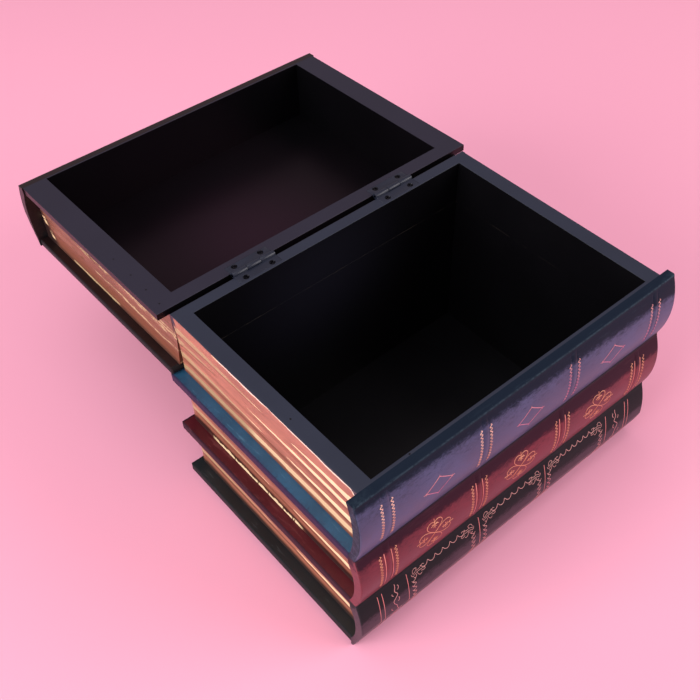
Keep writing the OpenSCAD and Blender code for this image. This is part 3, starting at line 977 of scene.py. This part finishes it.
def cover_paint(z0, z1, back):
    """Wear along a cover's outer edges, rubbed lines beside the foot of the pages, a painted shadow line at
    the foot of the pages, and painted shade on the outer edge, purple on the blue cover as a painted
    reflection of the pink floor.
    """
    def painted(p):
        x, y, z = p.T
        out = np.maximum(np.abs(x) - COVER_X, y - back)
        off_face = np.minimum(np.abs(z - z1), np.abs(z - z0))
        on_top = np.abs(z - z1) < 0.1
        worn = smoothstep(1.6, 0.4, np.abs(out)) * smoothstep(1.6, 0.4, off_face)
        inner = smoothstep(9.5, 7.0, -out) * on_top
        # Painted shadow: a dark line where the pages stand on the cover
        foot_shadow_line = smoothstep(9.9, 9.5, -out) * smoothstep(8.2, 9.0, -out) * on_top
        # Painted shade on the outer face and along the rounded outer edge, where the coat is also thinner
        outer_face = (np.abs(out) < 0.6) & (z < z1 - 0.4)
        rim = 0.42 * smoothstep(-4.5, -1.0, out) * (z > z1 - 1.5) + 0.9 * (out > -0.95)
        sprayed = np.maximum.reduce([0.7 * foot_shadow_line, 0.3 * outer_face, rim])
        return {"sprayed": sprayed, "rubbed": 0.3 + 0.5 * inner, "worn": 0.06 * worn}
    return painted


def add_cover(name, body, nodes, looks, back, room=None):
    """Makes a book's cover: a frame round the walls, or a full board that is the floor of a room.

    The room is given by its front and back.
    """
    z0, z1 = (corner[2] for corner in upright(nodes[-1]))
    bay = [(-CORE_X, -FRONT), (-CORE_X, CORE_BACK), (CORE_X, CORE_BACK), (CORE_X, -FRONT)]
    outer = [(COVER_X, -FRONT), (COVER_X, back), (-COVER_X, back)]
    bm = cover_mesh([(-COVER_X, -FRONT), *([] if room else bay), *outer], z0, z1, back)
    if room:
        line_room(bm, *room, z0 if body == "lid" else z1)
    mesh = close_mesh(bm, f"{name}_cover_board")
    finish_piece(mesh, body, looks, nodes, cover_paint(z0, z1, back))


class BOOKBOX_OT_covers(bpy.types.Operator):
    """Make the leather-covered boards of the four books"""

    bl_idname = "book_box.covers"
    bl_label = "Covers"

    def execute(self, context):
        for name in ("red", "blue"):
            nodes = [f"{name}_cover_{side}" for side in ("left", "right", "back")]
            add_cover(name, "base", nodes, [f"{name}_cover_leather"], COVER_BACK)
        add_cover("black", "base", ["bottom_cover"], ["black_cover_leather", "room_paint"], COVER_BACK,
                  (LINING_BACK, ROOM_BACK))
        add_cover("lid", "lid", ["lid_cover"], ["brown_leather", "lid_room_paint"], LID_COVER_BACK,
                  (LID_LINING_BACK, LID_ROOM_BACK))
        return {"FINISHED"}


# Page edges

# Length and height of the cells that a page strip is carved in
CELL_LONG, CELL_HIGH = 1.15, 0.62
# Carved strokes of an end strip: the places of a stroke's point and of its wide end, in millimetres from the
# strip's middle towards the fore edge, the heights of the point and of the wide end's two edges as shares of
# the strip's height, and how smoothly its gold lies
# The pale gold of the strokes is partly real gold and partly painted highlight on their raised faces
STROKES = (
    (-31, -98, 0.705, 0.672, 0.785, 0.96),
    (23, -98, 0.525, 0.486, 0.578, 0.96),
    (-22, -98, 0.300, 0.256, 0.360, 0.96),
    (-9, 102, 0.754, 0.680, 0.815, 0.6),
    (51, 102, 0.570, 0.495, 0.605, 0.56),
    (-6, 102, 0.316, 0.268, 0.372, 0.68),
)
# Grooves under them, whose glaze is partly painted shade: from, to, lowest and highest share of the height,
# depth
GROOVES = (
    (-98, -28, 0.600, 0.650, 0.6),
    (-98, 20, 0.405, 0.465, 0.6),
    (-98, 102, 0.185, 0.245, 0.95),
    (-6, 102, 0.395, 0.450, 0.4),
)


def carving(s, t, seed):
    """Gold with painted highlight, and glaze with painted shade, at a place on a page strip: s along it in
    millimetres, t its share of the height.
    """
    gilt = np.zeros_like(t)
    glaze = np.zeros_like(t)
    sway = 0.005 * wander(s, seed)
    for tip, wide, t_tip, t_low, t_high, hold in STROKES:
        along = (s - tip) / (wide - tip)
        open_up = np.clip(along, 0, 1) ** 0.8
        low = t_tip + (t_low - t_tip) * open_up + sway
        high = t_tip + (t_high - t_tip) * open_up + sway
        gilt = np.maximum(gilt, np.where(along > 0, band(t, low, high, 0.009) * hold, 0))
        # Painted shade: a brown line under each stroke's lower edge
        under = smoothstep(low - 0.045, low - 0.02, t) * smoothstep(low + 0.002, low - 0.008, t)
        glaze = np.maximum(glaze, 0.85 * under * smoothstep(0, 0.12, along))
    for start, stop, t_low, t_high, depth in GROOVES:
        fade = smoothstep(start - 14, start, s) * smoothstep(stop + 14, stop - 22, s)
        glaze = np.maximum(glaze, band(t + sway, t_low - 0.0025, t_high + 0.0025, 0.0175) * fade * depth)
    return gilt, glaze * (1 - np.minimum(gilt, 1))


def page_recess(t, share=1.0):
    """How far the plain face of the pages stands in at a share of the height, in millimetres."""
    return share * (PAGE_FOOT * (1 - t) + PAGE_COVE * 4 * t * (1 - t))


def page_front(book, z):
    """Rounded front of the pages, which fits the hollow of the spine."""
    rise = SPINE_HOLLOW - PAGE_PLAY
    chord = book.pages_h - 2 * (SPINE_FOOT + PAGE_PLAY)
    radius = arc_radius(chord, rise)
    up = z - book.pages_z - book.pages_h / 2
    rounded = radius - rise - FRONT - np.sqrt(np.maximum(radius**2 - up**2, 0))
    return np.where(np.abs(up) < chord / 2, rounded, -FRONT)


def page_tones(book, side, s, t, z, seed):
    """What is painted on a page strip: gold with painted highlight, glaze with painted shade, dark paint and
    painted shade near the covers, and how aged the gold is.
    """
    gilt, glaze = carving(s, t, seed)
    soot = np.zeros_like(t)
    aged = smoothstep(0, 25, s)
    if book.name == "blue":
        taper = np.interp(s, (-98, 0, 102), (0.155, 0.145, 0.135))
        foot = band(t, 0.06 + 0.01 * wander(s, seed + 3, 2.2), taper, 0.008)
        gilt = np.maximum(gilt, foot)
        glaze = np.maximum(glaze, smoothstep(0.055, 0.03, t))
        aged = np.maximum(aged, 0.4 * foot)
        border = book.pages_top - 1.6 - 1.2 * wander(s, seed + 5) - 0.3 * wander(s, seed + 2, 4.0)
        border -= 5.5 * smoothstep(-92, -99.5, s) ** 2
        # Painted highlight: a pale line along the top edge of the pages below the rim paint, fading towards
        # the far end
        rim_highlight = smoothstep(border - 2.1, border - 1.5, z) * smoothstep(60, 35, s)
        under = z > border - 2.1
        gilt = np.where(under, 1.8 * rim_highlight, gilt)
        glaze, aged = glaze * ~under, aged * ~under
        # Dark rim paint over the top of the pages, and a painted shadow line at their very foot beside the
        # cover
        soot = np.maximum(smoothstep(border - 0.2, border + 0.1, z), 0.8 * smoothstep(0.015, 0.004, t))
    elif book.name == "lid":
        edge = band(t + 0.004 * wander(s, 9, 3.0), 0.955, 0.985, 0.006)
        edge *= smoothstep(-60, -52, s) * smoothstep(24, 14, s)
        glaze = 0.8 * smoothstep(0.55, 0.85, t) + 0.35 * (wander(t * 300, 5, 1.6) > 0.1)
        drag = 0.48 * band(t + 0.04 * wander(s, 8), 0.33, 0.56, 0.06) * smoothstep(-75, -35, s)
        high_line = 0.6 * band(t + 0.02 * wander(s, 4), 0.7, 0.74, 0.01) * smoothstep(-40, -10, s)
        low_line = 0.7 * band(t + 0.02 * wander(s, 2), 0.46, 0.5, 0.01) * smoothstep(10, 40, s)
        # Distance past a slanted line at the strip's front corner, where dark paint and blobs of gold lie
        past_corner = z - 218 - (s + 104)
        blobs = band(past_corner + 2.2 * wander(z, 2, 9.0), -4, 1.5, 1.0) * smoothstep(-78, -88, s)
        blobs *= smoothstep(-0.2, 0.25, wander(z, 4, 9.0))
        gilt = np.maximum.reduce([drag, high_line, low_line, edge, blobs])
        aged = np.maximum(0.9 - 0.45 * blobs, 0.3)
        soot = smoothstep(-14, 2, past_corner + wander(z, 3, 5.0)) * smoothstep(-50, -88, s) * (1 - blobs)
        soot = np.maximum(soot, 0.7 * smoothstep(0.9, 1.0, t) * (1 - edge))
    else:
        dark = 0.1 if book.name == "red" else 0.06
        # Painted shade at the foot of the pages, browner and then dark where they meet the cover, and under
        # the cover above them
        glaze = np.maximum(glaze, 0.9 * smoothstep(dark + 0.13, dark + 0.02, t))
        soot = 0.95 * smoothstep(dark + 0.03, dark - 0.01, t + 0.01 * wander(s, seed + 1, 2.0))
        soot = np.maximum(soot, 0.5 * smoothstep(0.94, 0.99, t))
    if book.name == "red":
        ragged = 0.034 + 0.024 * wander(s, 6, 5.0) + 0.012 * wander(s, 3, 14.0)
        torn = smoothstep(ragged + 0.02, ragged + 0.006, t) * smoothstep(-42, -30, s) * smoothstep(84, 66, s)
        torn *= np.where(wander(s, 2, 7.0) > -0.62, 1, 0.2)
        gilt = np.maximum(gilt * smoothstep(0.14, 0.18, t), 1.1 * torn)
        aged = np.where(torn > 0.3, 0.3, aged)
        soot *= 1 - torn
    if side == 0 and book.name == "blue":
        soot = np.maximum(soot, smoothstep(book.pages_top - 14, book.pages_top - 9, z))
    if side == 0 and book.name == "lid":
        soot = np.maximum(soot, smoothstep(0.4, 0.2, t))
    return gilt, glaze, np.clip(soot, 0, 1), np.clip(aged, 0, 1)


def faces_of(bm, points):
    """Faces whose corners all lie among the given points."""
    chosen = set(points)
    return [f for f in bm.faces if all(v in chosen for v in f.verts)]


def fore_edge(x):
    """Place in the strokes' pattern of a place along the fore edge, the same from both ends."""
    return 100 - np.abs(x) * 0.7


def strip_mesh(name, book, side, seed):
    """Carved page strip: side is -1 for the left end, 1 for the right end and 0 for the fore edge."""
    inner = book.pages_back - PAGE_T
    long = 2 * HALF_LEN if side == 0 else book.pages_back + FRONT
    columns, rows = int(long / CELL_LONG), int(book.pages_h / CELL_HIGH)
    bm = bmesh.new()
    bmesh.ops.create_grid(bm, x_segments=columns, y_segments=rows, size=0.5)
    places = np.array([v.co for v in bm.verts])
    along, t = places[:, 0] + 0.5, np.clip(places[:, 1] + 0.5, 0, 1)
    z = book.pages_z + t * book.pages_h
    recess = page_recess(t, 1 if side else FORE_SHARE)
    if side:
        first = page_front(book, z)
        across = first + (inner - first) * along
        gilt, glaze = carving(across, t, seed)
        ends = smoothstep(0, 2, inner - across)
    else:
        reach = HALF_LEN - page_recess(t)
        across = -reach + 2 * reach * along
        gilt, glaze = carving(fore_edge(across), t, seed)
        ends = smoothstep(0, 3, reach - np.abs(across))
    carve = sizes().carving / MM * (0.55 * (1 - np.minimum(gilt * 1.4, 1)) + 0.45 * glaze) * ends
    carve *= smoothstep(0, 0.03, t) * smoothstep(1, 0.96, t)
    for i, v in enumerate(bm.verts):
        if side:
            v.co = (side * (HALF_LEN - recess[i] - carve[i]), across[i], z[i])
        else:
            v.co = (across[i], book.pages_back - recess[i] - carve[i], z[i])
    moved = extruded(bm, bm.faces[:], (0, 0, 0))
    flat = CORE_X if side else inner
    for v in moved:
        if side:
            v.co.x = side * flat
        else:
            v.co.y = flat
    bmesh.ops.dissolve_faces(bm, faces=faces_of(bm, moved), use_verts=False)
    top_edge = sharp_edges(
        bm, lambda p: abs(p.z - book.pages_top) < 0.001 and (abs(p.x) if side else p.y) > flat + 0.5, 0.6
    )
    bevel(bm, top_edge, 0.5, 3)
    return close_mesh(bm, name)


def strip_paint(book, side, seed):
    def painted(p):
        x, y, z = p.T
        t = np.clip((z - book.pages_z) / book.pages_h, 0, 1)
        at_end = np.abs(x) > HALF_LEN - page_recess(t) - 1
        s = y if side else np.where(at_end, y, fore_edge(x))
        return dict(zip(("gilt", "glaze", "soot", "aged"), page_tones(book, side, s, t, z, seed)))
    return painted


class BOOKBOX_OT_pages(bpy.types.Operator):
    """Carve and paint the page edges of the four books"""

    bl_idname = "book_box.pages"
    bl_label = "Page edges"

    def execute(self, context):
        for number, book in enumerate(BOOKS):
            for word, side in (("left", -1), ("right", 1), ("back", 0)):
                seed = 3 * number + side + 1
                node = f"{book.name}_pages_{word}"
                mesh = strip_mesh(f"{node}_carved", book, side, seed)
                if node == "blue_pages_back":
                    cut_hinges(mesh, BASE_H)
                looks = [f"{book.name}_page_paint", "rim_paint"]
                painted = strip_paint(book, side, seed)
                piece = finish_piece(mesh, book.body, looks, [node], painted, even=False)
                if book.name == "blue":
                    for face in piece.data.polygons:
                        if face.normal.z > 0.9 and face.center.z > (BASE_H - 0.05) * MM:
                            face.material_index = 1
        return {"FINISHED"}


# Walls and rims

# Height of the hinge leaves' recesses, both sides of a rim together, and the room they leave round a leaf
RECESS_H, RECESS_PLAY = 2.44, 0.1


def hinge_places():
    """Middle, width and depth of the two hinges' leaves, in millimetres."""
    places = []
    for side in ("left", "right"):
        low, high = upright(f"{side}_hinge_base_leaf")
        places.append(((low[0] + high[0]) / 2, (high[0] - low[0]) / 2, low[1]))
    return places


def cut_hinges(mesh, rim):
    """Cuts the hinge leaves' recesses into the wood on either side of a rim's height."""
    bm = bmesh.new()
    for middle, half, edge in hinge_places():
        box = bmesh.ops.create_cube(bm, size=1)["verts"]
        back = PAGES_BACK + 3
        bmesh.ops.scale(bm, vec=(2 * half + 2 * RECESS_PLAY, back - edge + RECESS_PLAY, RECESS_H), verts=box)
        bmesh.ops.translate(bm, vec=(middle, (back + edge - RECESS_PLAY) / 2, rim), verts=box)
    cutter_mesh = close_mesh(bm, "hinge_recess")
    cutter = bpy.data.objects.new("hinge_recess", cutter_mesh)
    block = bpy.data.objects.new("recessed", mesh)
    for made in (cutter, block):
        bpy.context.scene.collection.objects.link(made)
    modifier = block.modifiers.new("recess", "BOOLEAN")
    modifier.operation, modifier.solver, modifier.object = "DIFFERENCE", "EXACT", cutter
    bpy.context.view_layer.update()
    cut = block.evaluated_get(bpy.context.evaluated_depsgraph_get()).to_mesh()
    bm = bmesh.new()
    bm.from_mesh(cut)
    bm.to_mesh(mesh)
    bm.free()
    bpy.data.objects.remove(block)
    bpy.data.objects.remove(cutter)
    bpy.data.meshes.remove(cutter_mesh)


def ring(outer, inner, z0, z1):
    """Square ring between an outer and an inner outline, each given as x half, y low and y high."""
    bm = bmesh.new()
    loops = []
    for half, y0, y1 in (outer, inner):
        corners = [bm.verts.new((x, y, z1)) for x, y in ((-half, y0), (half, y0), (half, y1), (-half, y1))]
        loops += [bm.edges.new((a, b)) for a, b in zip(corners, corners[1:] + corners[:1])]
    bmesh.ops.bridge_loops(bm, edges=loops)
    extruded(bm, bm.faces[:], (0, 0, z0 - z1))
    bmesh.ops.recalc_face_normals(bm, faces=bm.faces)
    return bm


def ring_edges(bm, half, y0, y1, z):
    """Edges of a ring that follow one outline at one height."""
    def on(p):
        at_side = abs(abs(p.x) - half) < NEAR and y0 - NEAR < p.y < y1 + NEAR
        at_end = (abs(p.y - y0) < NEAR or abs(p.y - y1) < NEAR) and abs(p.x) < half + NEAR
        return abs(p.z - z) < NEAR and (at_side or at_end)
    return sharp_edges(bm, on)


# Half the width of the groove along the back wall's joint, and its depth
JOINT_HALF, JOINT_DEPTH = 0.25, 0.14
# Filled nail holes on the left rims: X and Y in the closed box
NAILS = {
    "base": ((-139.3, -30.0), (-101.1, -100.3)),
    "lid": ((-143.5, 27.4), (-143.7, 73.4), (-143.4, 51.9), (-144.5, 92.6)),
}


def nail_marks(body, z, out):
    """Small dark stoppings, just proud of a rim that faces up (out 1) or down (out -1)."""
    bm = bmesh.new()
    for x, y in NAILS[body]:
        disc = bmesh.ops.create_cone(bm, cap_ends=True, segments=14, radius1=0.85, radius2=0.6, depth=0.08)
        bmesh.ops.scale(bm, vec=(1, 1, out), verts=disc["verts"])
        bmesh.ops.translate(bm, vec=(x, y, z), verts=disc["verts"])
    finish_piece(close_mesh(bm, f"{body}_nail_marks"), body, ["room_paint"])


def joint_paint(p):
    """Painted highlight along the back wall's joint."""
    x, y, z = p.T
    return {"chafed": (np.abs(z - BAND_Z) < 0.05) & (y > ROOM_BACK - 0.1) & (np.abs(x) < ROOM_X + 0.1)}


class BOOKBOX_OT_walls(bpy.types.Operator):
    """Make the painted walls and rims of the base and the lid"""

    bl_idname = "book_box.walls"
    bl_label = "Walls and rims"

    def execute(self, context):
        eased = sizes().wood_round / MM
        room = (ROOM_X, LINING_BACK, ROOM_BACK)
        bm = ring((CORE_X, -FRONT, CORE_BACK), room, FLOOR, BASE_H)
        bevel(bm, ring_edges(bm, *room, BASE_H), eased, 3)
        for z in (BAND_Z - JOINT_HALF, BAND_Z, BAND_Z + JOINT_HALF):
            cut_across(bm, (0, 0, z), (0, 0, 1))
        for v in bm.verts:
            if abs(v.co.z - BAND_Z) < NEAR and abs(v.co.y - ROOM_BACK) < NEAR:
                v.co.y += JOINT_DEPTH
        mesh = close_mesh(bm, "base_walls")
        cut_hinges(mesh, BASE_H)
        coat_rims(mesh, BASE_H)
        nodes = ["left_wall", "right_wall", "back_wall_lower", "back_wall_upper", "front_lining"]
        finish_piece(mesh, "base", ["room_paint", "rim_paint"], nodes, joint_paint)
        nail_marks("base", BASE_H, 1)
        nail_marks("lid", LID_Z, -1)

        room = (ROOM_X, LID_LINING_BACK, LID_ROOM_BACK)
        bm = ring((COVER_X, -FRONT, FRONT), room, LID_Z, LID_RIM_TOP)
        bevel(bm, ring_edges(bm, *room, LID_Z), eased, 3)
        outer = [e for z in (LID_Z, LID_RIM_TOP) for e in ring_edges(bm, COVER_X, -FRONT, FRONT, z)
                 if not lies_along(e, -FRONT)]
        bevel(bm, outer, eased, 3)
        mesh = close_mesh(bm, "lid_rim_board")
        cut_hinges(mesh, LID_Z)
        coat_rims(mesh, LID_Z)
        nodes = ["lid_rim_left", "lid_rim_right", "lid_rim_back"]
        finish_piece(mesh, "lid", ["lid_room_paint", "lid_rim_paint"], nodes)

        bm = ring((CORE_X, -FRONT, LID_CORE_BACK), room, LID_RIM_TOP, LID_CORE_TOP)
        nodes = ["lid_left_wall", "lid_right_wall", "lid_back_wall", "lid_lining"]
        finish_piece(close_mesh(bm, "lid_walls"), "lid", ["lid_room_paint"], nodes)
        return {"FINISHED"}


# Hinges


def eased_copy(node, offset):
    """Copy of a CAD node with its doubles merged and its sharp edges eased by an offset in millimetres."""
    bm = bmesh.new()
    bm.from_mesh(frame["nodes"][node].data)
    bmesh.ops.remove_doubles(bm, verts=bm.verts, dist=1e-6)
    bmesh.ops.dissolve_limit(bm, angle_limit=radians(0.5), verts=bm.verts, edges=bm.edges,
                             use_dissolve_boundaries=False, delimit={"NORMAL"})
    bevel(bm, sharp_edges(bm, least=0.9), offset * MM, 2)
    mesh = bpy.data.meshes.new(f"{node}_eased")
    bm.to_mesh(mesh)
    bm.free()
    return mesh


class BOOKBOX_OT_hinges(bpy.types.Operator):
    """Make the enamelled hinges, their pins and their screws"""

    bl_idname = "book_box.hinges"
    bl_label = "Hinges"

    def execute(self, context):
        for side in ("left", "right"):
            for word in ("base_leaf", "lid_leaf"):
                self.add(f"{side}_hinge_{word}", "hinge_enamel", 0.1, "hinge")
            self.add(f"{side}_hinge_pin", "pin_steel", 0.15, "hinge")
        for node in ("base_screws", "lid_screws"):
            self.add(node, "screw_steel", 0.06, "screw")
        return {"FINISHED"}

    def add(self, node, look, offset, slot):
        mesh = eased_copy(node, offset)
        dress(mesh, [look], 35)
        add_piece(mesh, frame["nodes"][node]["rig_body"], [node])


# Stage

# Name, place, aim, width in metres, power in watts and tint of each light
LIGHTS = (
    ("overhead", (-0.6, 0.1, 2.5), (0, 0, 0), 2.4, 20, (0.94, 0.97, 1.0)),
    ("window", (-2.3, 0.2, 1.0), (0, 0.1, 0), 2.2, 62, (1.0, 0.97, 0.96)),
    ("front", (1.6, -1.8, 1.2), (0, 0, 0), 2.2, 48, (1.0, 0.96, 0.97)),
)
SKY_TINT, SKY_STRENGTH = (1.0, 0.82, 0.89, 1), 0.42
# The camera as it was solved from the photograph: place in metres, lens in millimetres, angles in degrees
CAMERA_PLACE, CAMERA_LENS = (-0.3588, -0.3604, 0.6697), 50.48
CAMERA_AZIMUTH, CAMERA_ELEVATION, CAMERA_ROLL = -39.26, 47.09, -1.58


def area_light(name, place, aim, size, power, tint):
    data = bpy.data.lights.new(name, "AREA")
    data.shape, data.size, data.energy, data.color = "DISK", size, power, tint
    light = bpy.data.objects.new(name, data)
    light.location = place
    light.rotation_euler = (Vector(aim) - Vector(place)).to_track_quat("-Z", "Y").to_euler()
    bpy.context.scene.collection.objects.link(light)


def camera_turn():
    azimuth, elevation, roll = (radians(angle) for angle in (CAMERA_AZIMUTH, CAMERA_ELEVATION, CAMERA_ROLL))
    ahead = Vector((-sin(azimuth) * cos(elevation), cos(azimuth) * cos(elevation), -sin(elevation)))
    right = ahead.cross(Vector((0, 0, 1))).normalized()
    up = right.cross(ahead)
    right, up = cos(roll) * right + sin(roll) * up, cos(roll) * up - sin(roll) * right
    return Matrix((right, up, -ahead)).transposed().to_4x4()


class BOOKBOX_OT_stage(bpy.types.Operator):
    """Set up the floor, the lights and the camera of the photograph"""

    bl_idname = "book_box.stage"
    bl_label = "Stage"

    def execute(self, context):
        scene = context.scene
        scene.view_settings.view_transform = "Standard"
        bm = bmesh.new()
        bmesh.ops.create_grid(bm, x_segments=2, y_segments=2, size=4000)
        bmesh.ops.translate(bm, vec=(0, 0, -0.05), verts=bm.verts)
        mesh = close_mesh(bm, "floor")
        floor = bpy.data.objects.new("floor", mesh)
        scene.collection.objects.link(floor)
        paper = Finish("floor_paper", Roughness=0.75, Specular_IOR_Level=0.25)
        paper.set(Base_Color=paper.shades(paper.noise(2.2, 2, 0.5), colours().floor, 0.985, 1))
        mesh.materials.append(paper.material)

        world = bpy.data.worlds.new("studio")
        scene.world = world
        world.use_nodes = True
        sky = world.node_tree.nodes["Background"]
        sky.inputs["Color"].default_value = SKY_TINT
        sky.inputs["Strength"].default_value = SKY_STRENGTH
        for light in LIGHTS:
            area_light(*light)

        camera_data = bpy.data.cameras.new("camera")
        camera_data.lens, camera_data.sensor_width, camera_data.sensor_fit = CAMERA_LENS, 36, "HORIZONTAL"
        camera = bpy.data.objects.new("camera", camera_data)
        scene.collection.objects.link(camera)
        camera.matrix_world = Matrix.Translation(CAMERA_PLACE) @ camera_turn()
        scene.camera = camera
        return {"FINISHED"}


OPERATORS = (
    BOOKBOX_OT_spines, BOOKBOX_OT_tooling, BOOKBOX_OT_covers, BOOKBOX_OT_pages, BOOKBOX_OT_walls,
    BOOKBOX_OT_hinges, BOOKBOX_OT_stage,
)


class BOOKBOX_PT_panel(bpy.types.Panel):
    """Lists the steps that make the box, with its sizes and colours"""

    bl_idname = "BOOKBOX_PT_panel"
    bl_label = "Book Box"
    bl_space_type = "VIEW_3D"
    bl_region_type = "UI"
    bl_category = "Book Box"

    def draw(self, context):
        for group in (context.scene.book_box_sizes, context.scene.book_box_colours):
            for name in group.__annotations__:
                self.layout.prop(group, name)
        for operator in OPERATORS:
            self.layout.operator(operator.bl_idname)


CLASSES = (BookBoxSizes, BookBoxColours, *OPERATORS, BOOKBOX_PT_panel)


def register():
    for item in CLASSES:
        bpy.utils.register_class(item)
    bpy.types.Scene.book_box_sizes = bpy.props.PointerProperty(type=BookBoxSizes)
    bpy.types.Scene.book_box_colours = bpy.props.PointerProperty(type=BookBoxColours)


def unregister():
    del bpy.types.Scene.book_box_colours
    del bpy.types.Scene.book_box_sizes
    for item in reversed(CLASSES):
        bpy.utils.unregister_class(item)


def main():
    register()
    for operator in OPERATORS:
        group, name = operator.bl_idname.split(".")
        getattr(getattr(bpy.ops, group), name)()


if __name__ == "__main__":
    main()
